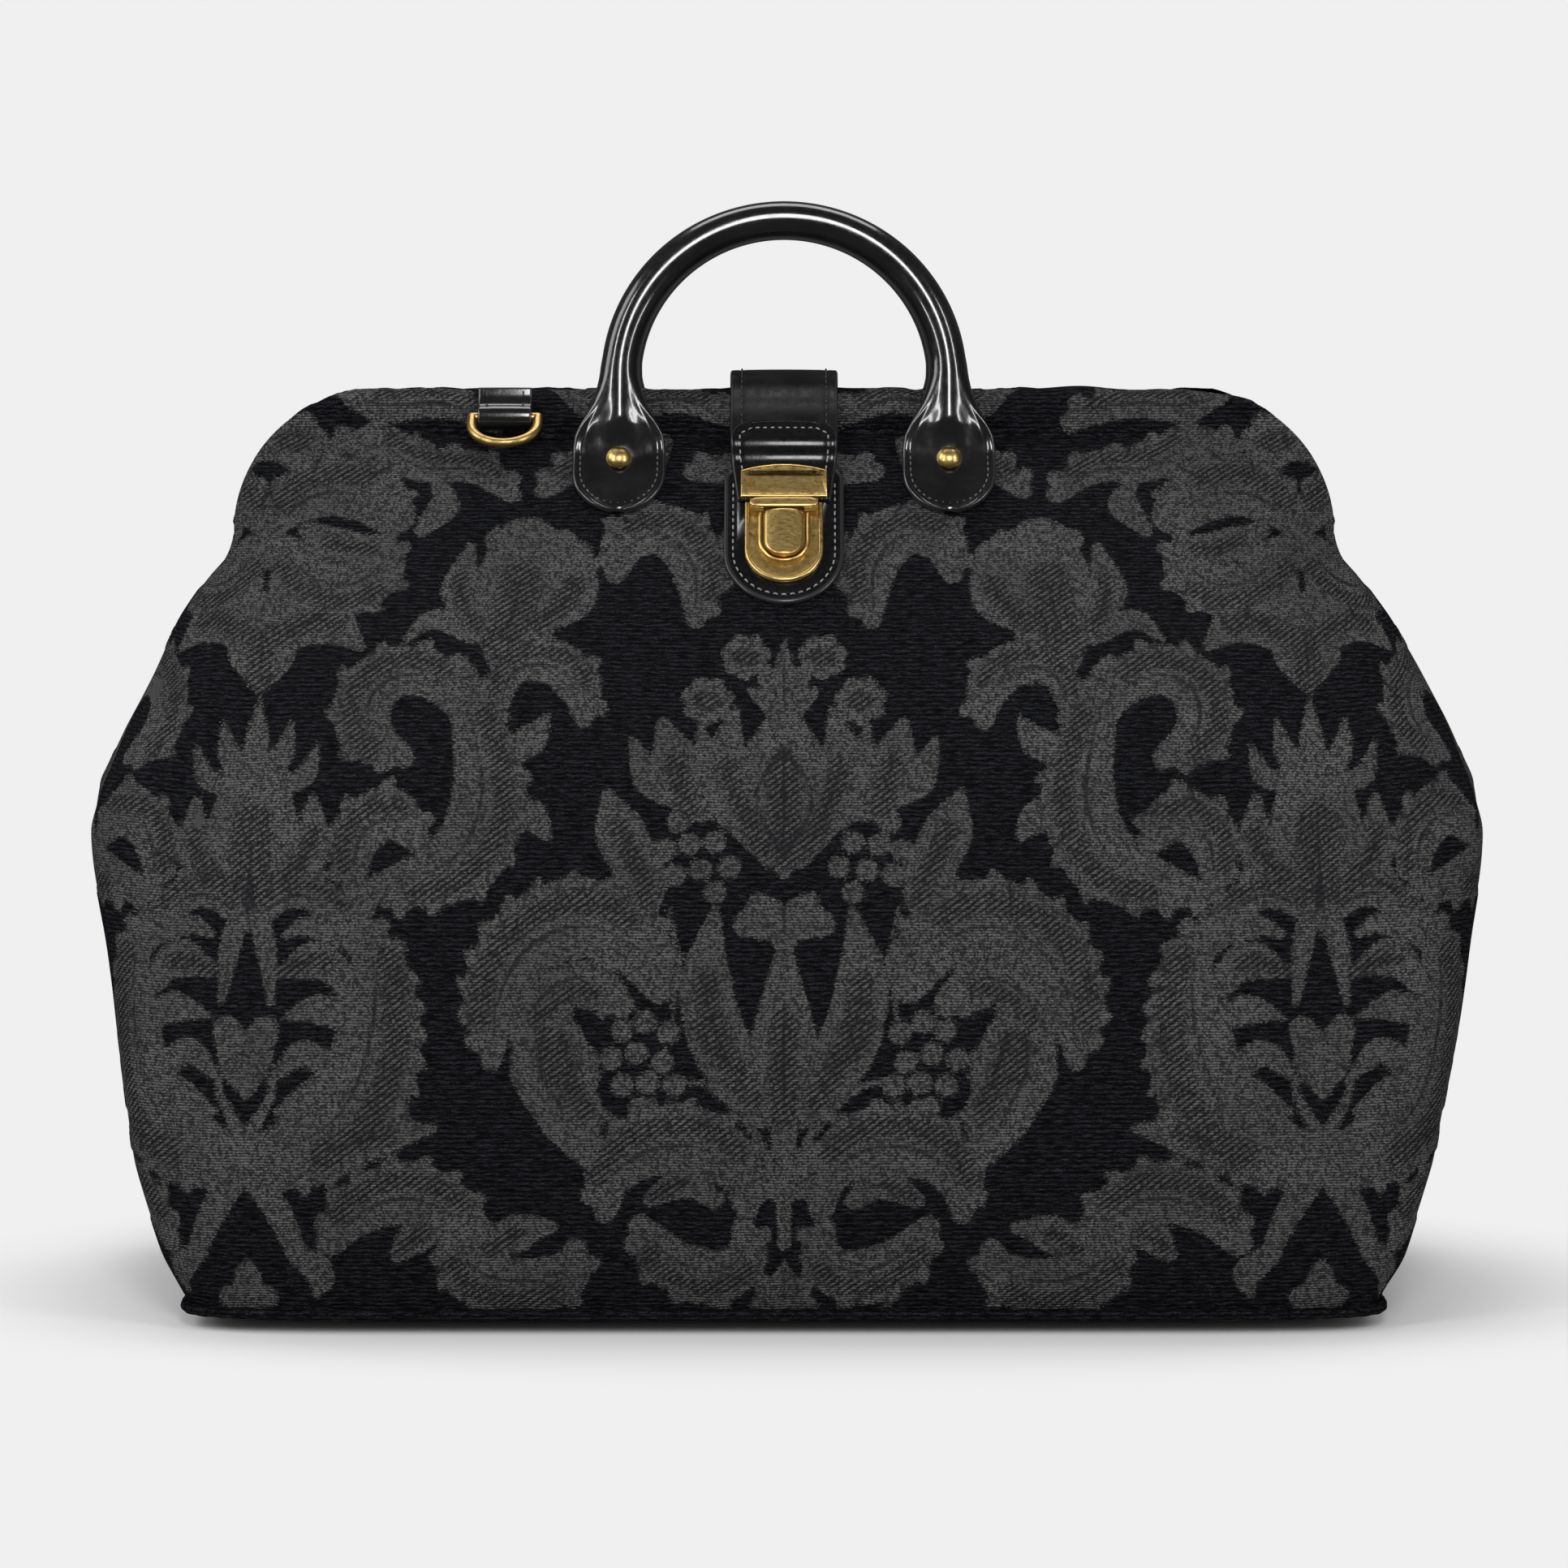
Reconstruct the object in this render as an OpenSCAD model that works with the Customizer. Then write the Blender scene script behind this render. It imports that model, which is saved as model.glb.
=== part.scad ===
// Doctor bag: soft body on a stiff floor, two riveted steel frames that part at the mouth,
// a strap with a tuck lock, two rolled handles and two D-rings.
// Millimetres, +Z up, front of the bag towards -Y, feet standing on Z = 0.

/* [Body] */
// Half width of the body at its widest level
body_half_w = 250; // [244:1:254]
// Half depth of the body at its fullest level
body_half_d = 114; // [108:1:118]
// Thickness of the woven panels
cloth_t = 2; // [1.6:0.1:2.2]
// Level where the fixed lower panels end and the panels carried by the frames begin
split_z = 242; // [240:1:246]

/* [Floor] */
// Thickness of the stiffening board
board_t = 2.5; // [2:0.5:4]
// Distance between neighbouring feet along the bag
foot_pitch = 158; // [140:1:165]
// Distance of each row of feet from the middle of the bag
foot_row_y = 74; // [60:1:80]

/* [Frames] */
// Height of the hinge pins above the ground
pin_z = 272; // [271:1:273]
// Half width over the legs of the steel frames
frame_half_w = 197.5; // [197:0.1:197.6]
// Outer bend radius of the frame corners
frame_bend_r = 50; // [48:1:50]
// Thickness of the steel strip
strip_t = 2.5; // [2:0.1:2.5]
// Radius of the hinge pins
pin_r = 2.5; // [2:0.1:3]

/* [Handles] */
// Half distance between the two legs of a handle
handle_half_w = 59.5; // [56:0.5:62]
// Radius of the rolled grip
grip_r = 6.7; // [6:0.1:6.8]
// Inward lean of the handles in degrees
handle_lean = 12; // [10:0.5:12]
// Height of the axis that the handle legs bend about
handle_pivot_z = 320.5; // [320:0.5:321]
// Distance of that axis from the middle of the bag
handle_pivot_y = 22.5; // [22.5:0.1:24]

/* [Closure] */
// Width of the closure strap
strap_w = 39; // [34:0.5:40]
// Width of the lock patch
patch_w = 43; // [41:0.5:46]
// Width of the brass tongue plate
tongue_w = 31; // [28:0.5:32]
// Width of the lock base plate
base_w = 28; // [26:0.5:30]
// Width of the push button
button_w = 14.5; // [13:0.1:15]

/* [D-rings] */
// Distance of each D-ring from the middle of the bag
ring_x = 101; // [95:1:115]
// Radius of the D-ring wire
ring_wire_r = 1.75; // [1.5:0.05:1.8]
// Rest angle of the D-rings below the horizontal in degrees
ring_droop = 33; // [30:1:40]

/* [Hidden] */
$fn = 64;

// Floor levels
floor_z = 6.5;
panel_base_z = floor_z + cloth_t + 0.5;
board_top_z = panel_base_z + board_t;
washer_t = 1;
foot_r = 4.1;
foot_shank_r = 1.6;
washer_r = 5.5;

// Mouth: outer top of the cloth over the rails, and the bend that the cloth makes round the frame
mouth_top_z = 329.9;
bend_x = frame_half_w - frame_bend_r;
bend_z = 277;
cloth_bend_r = frame_bend_r + cloth_t + 0.9;
crease_z = 313.5;
mid_gap = 0.5;

// Straight slope of the upper panels that the lock and the handle pads lie on
slope_low = [62, 251];
slope_high = [24, 304];
slope_tilt = atan((slope_low[0] - slope_high[0]) / (slope_high[1] - slope_low[1]));
lock_z = 275.5;
lock_y = slope_low[0] - (lock_z - slope_low[1]) * tan(slope_tilt);

// Half widths, half depths, side depths and squareness of the body at its levels
half_widths = [
  [0, body_half_w - 44], [6, body_half_w - 41.5], [24, body_half_w - 31], [58, body_half_w - 20.5],
  [105, body_half_w - 12.5], [151, body_half_w - 4.5], [174, body_half_w], [188, body_half_w - 2.5],
  [208, body_half_w - 11], [243, body_half_w - 28.6], [272, 202.4], [bend_z, bend_x + cloth_bend_r]
];
half_depths = [
  [0, body_half_d - 13], [8, body_half_d - 11], [30, body_half_d - 4], [60, body_half_d],
  [100, body_half_d - 1], [135, body_half_d - 7], [165, body_half_d - 15], [195, body_half_d - 25],
  [225, body_half_d - 38], [slope_low[1], slope_low[0]], [slope_high[1], slope_high[0]],
  [crease_z, 14.4], [mouth_top_z - 2.4, 14.4], [mouth_top_z, 12]
];
side_depths = [
  [0, 50], [100, 48], [175, 34], [245, 18], [272, 14], [mouth_top_z - 2.4, 14.2], [mouth_top_z, 11.8]
];
squareness = [[0, 9], [60, 6], [135, 4], [195, 3], [245, 2.5], [272, 2.3], [304, 2.4], [crease_z, 5]];
lower_levels = [panel_base_z, 20, 36, 60, 100, 135, 160, 174, 188, 208, 226, split_z];
upper_levels = [
  split_z + 0.5, 251, 264, 277, 290, 298, 304, 310, crease_z, 320, 325, mouth_top_z - 1.5, mouth_top_z
];
ring_steps = 32;

// Frames
bar_front_y = 12;
bar_back_y = 1;
ear_r = 7;
ear_gap = 0.3;
running_gap = 0.05;
leg_end_z = pin_z + 10;
pin_head_r = 3.8;
pin_head_t = 1.2;

// Handles
leg_length = 12.7;
pad_v = 28;
rivet_v = 33;
pad_r = 16.5;
pad_t = 2.6;
pad_lift = 0.3;
rivet_r = 2;
rivet_head_r = 4.5;
rivet_head_h = 3;
core_r = 4.9;
core_gap = 0.1;

// Closure, heights above the slope
patch_lift = 0.2;
patch_t = 2;
base_n = patch_lift + patch_t;
base_t = 1.2;
case_n = base_n + base_t;
case_t = 2.4;
lip_n = 6.2;
lip_t = 1.4;
lip_w = 24.5;
lip_v = [9.5, 14];
case_w = 19;
case_low_v = -13;
button_low_v = -11;
button_high_v = 9.2;
button_gap = 0.2;
button_n = 4.9;
button_crown = 7.6;
tab_n = 2.7;
tab_t = 2;
blade_w = 18;
lock_rivet_r = 1;
anchor_t = 2.2;

// D-rings
ring_bow_r = 11.9;
ring_leg = 5.2;
ring_bar_y = 18.3;
ring_bar_z = crease_z + 6;
ring_gap = 0.1;
loop_r = 3.8;
loop_w = 18.9;

// Lining, set in from the outer face of the cloth
lining_t = 0.8;
lining_inset = cloth_t + 0.4;

cloth_color = "#2b2b2e";
lining_color = "#1c1c20";
leather_color = "#101012";
brass_color = "#a07c35";
steel_color = "#8a8c90";

// Half width of the body at level z, following the frame corner above the hinge
function half_w(z) = z < bend_z ? lookup(z, half_widths)
  : bend_x + sqrt(max(pow(cloth_bend_r, 2) - pow(z - bend_z, 2), 0));

// Half outline of the body at level z, from +X round the front to -X, set in by a wall
function half_ring(z, inset, gap) =
  let (
    w = half_w(z) - inset,
    e = lookup(z, side_depths) - inset,
    d = max(lookup(z, half_depths) - inset - e, 0.2),
    p = 2 / lookup(z, squareness)
  )
  concat(
    [[w, -gap, z]],
    [for (i = [0 : ring_steps])
      let (a = 180 * i / ring_steps, s = cos(a) < 0 ? -1 : 1)
      [w * s * pow(abs(cos(a)), p), -e - d * pow(sin(a), p), z]],
    [[-w, -gap, z]]
  );

// Whole outline of the body at level z as a flat shape, grown outwards
function outline(z, grow) =
  let (front = half_ring(z, -grow, 0), count = len(front))
  [for (i = [0 : 2 * count - 3])
    let (p = i < count ? front[i] : front[2 * count - 2 - i])
    [p[0], i < count ? p[1] : -p[1]]];

// A ribbon of even thickness along a path of points
function path_dir(path, i) =
  let (a = path[max(i - 1, 0)], b = path[min(i + 1, len(path) - 1)])
  (b - a) / norm(b - a);
function ribbon(path, t) = concat(
  [for (i = [0 : len(path) - 1]) let (d = path_dir(path, i)) path[i] + [-d[1], d[0]] * t / 2],
  [for (i = [len(path) - 1 : -1 : 0]) let (d = path_dir(path, i)) path[i] - [-d[1], d[0]] * t / 2]
);

// Closed skin through rings of equal length, joined last to first, capped at both ends of each ring
module skin(rings) {
  n = len(rings);
  m = len(rings[0]);
  points = [for (r = rings) each r];
  sides = [for (j = [0 : n - 1], i = [0 : m - 2])
    let (k = (j + 1) % n)
    each [[j * m + i, j * m + i + 1, k * m + i + 1], [j * m + i, k * m + i + 1, k * m + i]]];
  first_cap = [for (j = [0 : n - 1]) j * m];
  last_cap = [for (j = [n - 1 : -1 : 0]) j * m + m - 1];
  polyhedron(points, concat(sides, [first_cap, last_cap]), convexity = 6);
}

// Half shell of the front between the given levels, closed over the top when capped
module front_shell(levels, t, capped, inset = 0) {
  count = len(levels);
  top = levels[count - 1];
  inner_top = capped ? top - t : top;
  // Levels of the inner skin, kept under the cap
  under = [for (i = [0 : count - 1]) min(levels[i], inner_top - (i < count - 1 ? 0.3 : 0))];
  outer = [for (z = levels) half_ring(z, inset, mid_gap)];
  inner = [for (i = [count - 1 : -1 : 0]) half_ring(under[i], inset + t, mid_gap)];
  lid = capped ? [
    [for (p = outer[count - 1]) [p[0] * 0.98, -mid_gap, top]],
    [for (p = inner[0]) [p[0] * 0.98, -mid_gap, inner_top]]
  ] : [];
  skin(concat(outer, lid, inner));
}

module to_back() {
  mirror([0, 1, 0]) children();
}

// Places a flat drawing on the front slope: X across, Y up the slope, Z out of the cloth
module on_slope(x) {
  translate([x, -lock_y, lock_z]) rotate([90 - slope_tilt, 0, 0]) children();
}

// ---- Floor ----

module foot_places() {
  for (i = [-1 : 1], j = [-1, 1]) translate([i * foot_pitch, j * foot_row_y, 0]) children();
}

module bottom_panel() {
  color(cloth_color) difference() {
    translate([0, 0, floor_z]) linear_extrude(cloth_t + 0.5) polygon(outline(8, -1));
    foot_places() cylinder(r = foot_shank_r, h = 30);
  }
}

module bottom_board() {
  color("#3a332a") difference() {
    translate([0, 0, panel_base_z]) linear_extrude(board_t) polygon(outline(8, -8));
    foot_places() cylinder(r = foot_shank_r, h = 30);
  }
}

module bottom_piping() {
  color(cloth_color) translate([0, 0, 5.2]) linear_extrude(3.6) difference() {
    polygon(outline(8, 3.8));
    polygon(outline(8, 1.2));
  }
}

module feet() {
  color(brass_color) foot_places() rotate_extrude() polygon([
    [0, 0], [3.2, 0], [3.7, 0.5], [foot_r, floor_z], [foot_shank_r, floor_z],
    [foot_shank_r, board_top_z + washer_t + 0.8], [0, board_top_z + washer_t + 0.8]
  ]);
}

module foot_washers() {
  color(brass_color) foot_places() translate([0, 0, board_top_z]) difference() {
    cylinder(r = washer_r, h = washer_t);
    translate([0, 0, -1]) cylinder(r = foot_shank_r, h = washer_t + 2);
  }
}

// ---- Cloth body ----

module front_body_panel() {
  color(cloth_color) front_shell(lower_levels, cloth_t, false);
}

module back_body_panel() {
  color(cloth_color) to_back() front_shell(lower_levels, cloth_t, false);
}

module lining() {
  levels = concat([board_top_z + 2], [for (z = lower_levels) if (z > board_top_z + 3) z]);
  color(lining_color) for (s = [0, 1]) mirror([0, s, 0]) front_shell(levels, lining_t, false, lining_inset);
}

module lining_floor() {
  color(lining_color) translate([0, 0, board_top_z + 0.2]) difference() {
    linear_extrude(lining_t) polygon(outline(8, -10));
    foot_places() translate([0, 0, -1]) cylinder(r = washer_r + 0.5, h = 5);
  }
}

module rivet_holes() {
  for (x = [-handle_half_w, handle_half_w])
    on_slope(x) translate([0, rivet_v, -12]) cylinder(r = rivet_r, h = 24);
}

module lock_rivet_places() {
  for (x = [-11.3, 11.3]) on_slope(x) translate([0, 2, 0]) children();
}

module front_top_panel() {
  color(cloth_color) difference() {
    front_shell(upper_levels, cloth_t, true);
    rivet_holes();
    lock_rivet_places() translate([0, 0, -12]) cylinder(r = lock_rivet_r, h = 24);
  }
}

module back_top_panel() {
  color(cloth_color) difference() {
    to_back() front_shell(upper_levels, cloth_t, true);
    to_back() rivet_holes();
    anchor_rivet_places() translate([0, 0, -8]) cylinder(r = lock_rivet_r, h = 16);
  }
}

// ---- Steel frames and hinge pins ----

module arch_outline(inset, low_z) {
  r = frame_bend_r - inset;
  for (s = [-1, 1]) translate([s * bend_x, bend_z]) circle(r = r);
  translate([-bend_x, bend_z]) square([2 * bend_x, r]);
  translate([-bend_x - r, low_z]) square([2 * (bend_x + r), bend_z - low_z]);
}

// Bent strip from one leg end over the top to the other
module bent_strip(low_z) {
  translate([0, -bar_back_y, 0]) rotate([90, 0, 0]) linear_extrude(bar_front_y - bar_back_y) difference() {
    arch_outline(0, low_z);
    arch_outline(strip_t, low_z - 60);
    translate([-bend_x, bend_z - 60]) square([2 * bend_x, 60]);
    for (s = [-1, 1]) translate([s * bend_x - frame_bend_r - 1, low_z - 60])
      square([2 * frame_bend_r + 2, 60]);
  }
}

module pin_bore(r) {
  for (s = [-1, 1]) translate([s * (frame_half_w - 4), 0, pin_z]) rotate([0, 90, 0])
    cylinder(r = r, h = 20, center = true);
}

// Flat ear across the hinge axis, x0 is its inner face
module ear(x0, t, top_z) {
  translate([x0, 0, pin_z]) rotate([0, 90, 0]) cylinder(r = ear_r, h = t);
  translate([x0, -bar_front_y, pin_z]) cube([t, bar_front_y, top_z - pin_z]);
}

module front_frame_bar() {
  x0 = frame_half_w - strip_t;
  color(steel_color) difference() {
    union() {
      bent_strip(leg_end_z);
      for (s = [0, 1]) mirror([s, 0, 0]) ear(x0, strip_t, leg_end_z);
    }
    pin_bore(pin_r);
  }
}

module back_frame_bar() {
  x0 = frame_half_w - 2 * strip_t - ear_gap;
  color(steel_color) to_back() difference() {
    union() {
      bent_strip(leg_end_z);
      for (s = [0, 1]) mirror([s, 0, 0]) {
        ear(x0, strip_t, leg_end_z);
        translate([x0, -bar_front_y, leg_end_z]) cube([strip_t + ear_gap, bar_front_y - bar_back_y, 6]);
      }
    }
    pin_bore(pin_r + running_gap);
  }
}

module hinge_pins() {
  inner = frame_half_w - 2 * strip_t - ear_gap - 0.2;
  color(steel_color) for (s = [0, 1]) mirror([s, 0, 0]) translate([0, 0, pin_z]) rotate([0, 90, 0]) {
    translate([0, 0, inner]) cylinder(r = pin_r, h = frame_half_w - inner);
    translate([0, 0, inner - pin_head_t]) cylinder(r = pin_head_r, h = pin_head_t);
    translate([0, 0, frame_half_w]) cylinder(r = pin_head_r, h = pin_head_t);
  }
}

// ---- Handles ----

// Handle end: round paddle on the slope and the neck that rises towards the grip
module pad(x) {
  neck_v = 43;
  on_slope(x) translate([0, 0, pad_lift]) difference() {
    linear_extrude(pad_t) {
      translate([0, pad_v]) circle(r = pad_r);
      polygon([[-13.5, pad_v + 9], [-grip_r, neck_v], [grip_r, neck_v], [13.5, pad_v + 9]]);
    }
    translate([0, rivet_v, -1]) cylinder(r = rivet_r, h = pad_t + 2);
  }
}

module handle_rivets() {
  for (x = [-handle_half_w, handle_half_w]) on_slope(x) translate([0, rivet_v, 0]) {
    head_n = pad_lift + pad_t;
    sphere_r = (pow(rivet_head_r, 2) + pow(rivet_head_h, 2)) / (2 * rivet_head_h);
    translate([0, 0, -4.5]) cylinder(r = rivet_r, h = head_n + 4.5);
    translate([0, 0, head_n]) intersection() {
      translate([0, 0, rivet_head_h - sphere_r]) sphere(r = sphere_r);
      cylinder(r = rivet_head_r + 1, h = rivet_head_h + 1);
    }
  }
}

module rivet_burrs() {
  for (x = [-handle_half_w, handle_half_w]) on_slope(x) translate([0, rivet_v, -4.4]) difference() {
    cylinder(r = 4.5, h = 1);
    translate([0, 0, -1]) cylinder(r = rivet_r, h = 3);
  }
}

module grip_frame() {
  translate([0, -handle_pivot_y, handle_pivot_z]) rotate([-handle_lean, 0, 0]) children();
}

// Arch with two straight legs, as a bar of radius r or a tube when bore is above zero
module arch(r, bore, leg) {
  translate([0, 0, leg_length]) rotate([90, 0, 0]) rotate_extrude(angle = 180)
    translate([handle_half_w, 0]) difference() {
      circle(r = r);
      if (bore > 0) circle(r = bore);
    }
  for (x = [-handle_half_w, handle_half_w]) translate([x, 0, leg_length - leg]) difference() {
    cylinder(r = r, h = leg);
    if (bore > 0) translate([0, 0, -1]) cylinder(r = bore, h = leg + 2);
  }
}

module grip() {
  grip_frame() {
    arch(grip_r, core_r + core_gap, leg_length - 2);
    for (x = [-handle_half_w, handle_half_w]) translate([x, 0, 0]) intersection() {
      sphere(r = grip_r);
      translate([0, 0, -grip_r]) cylinder(r = grip_r, h = grip_r + 2);
    }
  }
}

module grip_core() {
  grip_frame() arch(core_r, 0, leg_length - 2.2);
}

// ---- Tuck lock ----

// Plate with a round lower end: w wide, from low to high up the slope
module tongue_shape(w, low, high) {
  translate([0, low + w / 2]) circle(d = w);
  translate([-w / 2, low + w / 2]) square([w, high - low - w / 2]);
}

module lock_patch() {
  color(leather_color) difference() {
    on_slope(0) translate([0, 0, patch_lift]) linear_extrude(patch_t) tongue_shape(patch_w, -28, 30);
    lock_rivet_places() cylinder(r = lock_rivet_r, h = 20);
  }
}

module lock_base_plate() {
  color(brass_color) difference() {
    on_slope(0) translate([0, 0, base_n]) linear_extrude(base_t) tongue_shape(base_w, -20, lip_v[1]);
    lock_rivet_places() cylinder(r = lock_rivet_r, h = 20);
  }
}

// Raised rim round the button, with the lip that the tongue slips behind
module lock_case() {
  color(brass_color) on_slope(0) {
    translate([0, 0, case_n]) linear_extrude(case_t) difference() {
      tongue_shape(case_w, case_low_v, lip_v[0]);
      tongue_shape(button_w + 2 * button_gap, button_low_v - button_gap, lip_v[0] + 1);
    }
    for (s = [-1, 1]) translate([s * lip_w / 2 - (s + 1) * 1, lip_v[0], case_n])
      cube([2, lip_v[1] - lip_v[0], lip_n - case_n]);
    translate([-lip_w / 2, lip_v[0], lip_n]) cube([lip_w, lip_v[1] - lip_v[0], lip_t]);
    for (s = [-1, 1]) translate([s * 9.75 - 2.5, lip_v[0] - 2, case_n]) cube([5, 2, lip_n - case_n + lip_t]);
  }
}

// Push button with a crown that is round across its width
module lock_button() {
  crown_r = 22;
  color(brass_color) on_slope(0) intersection() {
    translate([0, 0, button_n]) linear_extrude(button_crown - button_n)
      tongue_shape(button_w, button_low_v, button_high_v);
    translate([0, 0, button_crown - crown_r]) rotate([90, 0, 0]) cylinder(r = crown_r, h = 60, center = true);
  }
}

module lock_spring() {
  leaf = [[-7, case_n + 0.2], [-4, case_n + 0.5], [-1, case_n + 1.2], [2, case_n + 0.5], [5, case_n + 0.2]];
  color(steel_color) on_slope(0) translate([-3, 0, 0]) rotate([90, 0, 90]) linear_extrude(6)
    polygon(ribbon(leaf, 0.25));
}

module lock_rivets() {
  color(brass_color) lock_rivet_places() {
    translate([0, 0, -3.4]) cylinder(r = lock_rivet_r, h = case_n + 3.4);
    translate([0, 0, case_n]) cylinder(r = 1.6, h = 0.6);
  }
}

module lock_back_plate() {
  color(steel_color) difference() {
    on_slope(0) translate([-15, -9, -3.3]) cube([30, 20, 0.8]);
    lock_rivet_places() translate([0, 0, -8]) cylinder(r = lock_rivet_r, h = 12);
  }
}

// ---- Closure strap ----

// Points given as distance from the middle and height over the crease, as [y, z]
function over_crease(path) = [for (p = path) p + [0, crease_z]];

// Place on the slope section: v up the slope, n out of the cloth, as [y, z]
function slope_point(v, n) = [
  -lock_y + v * sin(slope_tilt) - n * cos(slope_tilt),
  lock_z + v * cos(slope_tilt) + n * sin(slope_tilt)
];

// Turns a drawing in the Y-Z plane into a band across X, w wide
module band(w) {
  translate([-w / 2, 0, 0]) rotate([90, 0, 90]) linear_extrude(w) children();
}

module strap_anchor() {
  path = [[16, 6], [16, 0.8], [19.5, -3], [26.1, -9.6], [28.3, -12.4]];
  color(leather_color) difference() {
    band(strap_w) polygon(ribbon(over_crease(path), anchor_t));
    anchor_rivet_places() translate([0, 0, -8]) cylinder(r = lock_rivet_r, h = 20);
  }
}

module anchor_rivet_places() {
  for (x = [-10, 10]) translate([x, 22.8, crease_z - 6.3]) rotate([-45, 0, 0]) children();
}

module strap_anchor_rivets() {
  color(brass_color) anchor_rivet_places() {
    translate([0, 0, -4.4]) cylinder(r = lock_rivet_r, h = 4.4 + anchor_t / 2);
    translate([0, 0, -4.4]) cylinder(r = 2.2, h = 0.7);
    translate([0, 0, anchor_t / 2]) cylinder(r = 2.6, h = 1);
  }
}

module closure_strap() {
  path = over_crease([
    [15.8, 6.4], [15.6, 12.2], [14, 18], [9, 21.6], [0, 22.2], [-9, 21.6], [-14.5, 18],
    [-17, 12], [-19.5, 6], [-25, -2]
  ]);
  color(leather_color) band(strap_w) polygon(ribbon(path, 2));
}

module closure_tab() {
  tip = slope_point(16, tab_n + tab_t / 2);
  shoulder = slope_point(31, tab_n + tab_t / 2);
  path = concat(over_crease([[-22.4, 5.7], [-28.2, -2.7]]), [shoulder, tip]);
  color(leather_color) difference() {
    band(strap_w - 1) polygon(ribbon(path, tab_t));
    tab_rivet_places() cylinder(r = 0.8, h = 20, center = true);
  }
}

module tab_rivet_places() {
  for (x = [-12.2, 12.2]) on_slope(x) translate([0, 21.5, tab_n + tab_t]) children();
}

// Brass plate across the end of the tab, with the blade that goes behind the lip
module tongue_plate() {
  color(brass_color) difference() {
    on_slope(0) {
      translate([-tongue_w / 2, 15, tab_n + tab_t]) cube([tongue_w, 12, 1.2]);
      translate([-blade_w / 2, lip_v[1] - 1.1, tab_n + tab_t - 0.6]) cube([blade_w, 3.1, 0.6]);
      translate([-blade_w / 2, 15, tab_n + tab_t - 0.6]) cube([blade_w, 0.9, 0.7]);
    }
    tab_rivet_places() cylinder(r = 0.8, h = 20, center = true);
  }
}

module tab_rivets() {
  color(brass_color) tab_rivet_places() {
    translate([0, 0, -tab_t]) cylinder(r = 0.8, h = tab_t + 1.2);
    translate([0, 0, 1.2]) cylinder(r = 1.3, h = 0.6);
  }
}

// ---- D-rings ----

module ring_loop() {
  color(leather_color) translate([-ring_x, -ring_bar_y, ring_bar_z]) difference() {
    union() {
      rotate([0, 90, 0]) cylinder(r = loop_r, h = loop_w, center = true);
      translate([-loop_w / 2, loop_r - 1.8, 0]) cube([loop_w, 1.8, 10.5]);
      translate([-loop_w / 2, loop_r - 1.8, -4]) cube([loop_w, 1.8, 4]);
    }
    rotate([0, 90, 0]) cylinder(r = ring_wire_r + ring_gap, h = loop_w + 2, center = true);
  }
}

// D: straight bar, two legs and a half round bow
module d_ring() {
  color(brass_color) translate([-ring_x, -ring_bar_y, ring_bar_z]) rotate([ring_droop + 180, 0, 0]) {
    rotate([0, 90, 0]) cylinder(r = ring_wire_r, h = 2 * ring_bow_r, center = true);
    for (s = [-1, 1]) translate([s * ring_bow_r, 0, 0]) {
      sphere(r = ring_wire_r);
      rotate([-90, 0, 0]) cylinder(r = ring_wire_r, h = ring_leg);
    }
    translate([0, ring_leg, 0]) rotate_extrude(angle = 180) translate([ring_bow_r, 0]) circle(r = ring_wire_r);
  }
}

module to_back_right() {
  rotate([0, 0, 180]) children();
}

bottom_panel();
bottom_board();
bottom_piping();
front_body_panel();
back_body_panel();
lining();
lining_floor();
feet();
foot_washers();
front_frame_bar();
back_frame_bar();
hinge_pins();
front_top_panel();
back_top_panel();
color(leather_color) pad(-handle_half_w);  // front_pad_left
color(leather_color) pad(handle_half_w);  // front_pad_right
color(leather_color) to_back() pad(-handle_half_w);  // back_pad_left
color(leather_color) to_back() pad(handle_half_w);  // back_pad_right
color(brass_color) handle_rivets();  // front_handle_rivets
color(brass_color) to_back() handle_rivets();  // back_handle_rivets
color(brass_color) rivet_burrs();  // front_rivet_burrs
color(brass_color) to_back() rivet_burrs();  // back_rivet_burrs
color(leather_color) grip();  // front_grip
color("#8a7a5c") grip_core();  // front_grip_core
color(leather_color) to_back() grip();  // back_grip
color("#8a7a5c") to_back() grip_core();  // back_grip_core
lock_patch();
lock_base_plate();
lock_case();
lock_button();
lock_spring();
lock_rivets();
lock_back_plate();
strap_anchor();
strap_anchor_rivets();
closure_strap();
closure_tab();
tongue_plate();
tab_rivets();
ring_loop();  // front_ring_loop
to_back_right() ring_loop();  // back_ring_loop
d_ring();  // front_d_ring
to_back_right() d_ring();  // back_d_ring
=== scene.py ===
"""Looks of the doctor bag: woven cloth body, rolled leather handles, strap with tuck lock.

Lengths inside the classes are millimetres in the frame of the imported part, +Z up and the
front of the bag towards -Y. They become metres when a mesh is made.
"""

import logging
import math
from dataclasses import dataclass, field
from enum import Enum
from typing import Callable, Optional, Sequence

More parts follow.
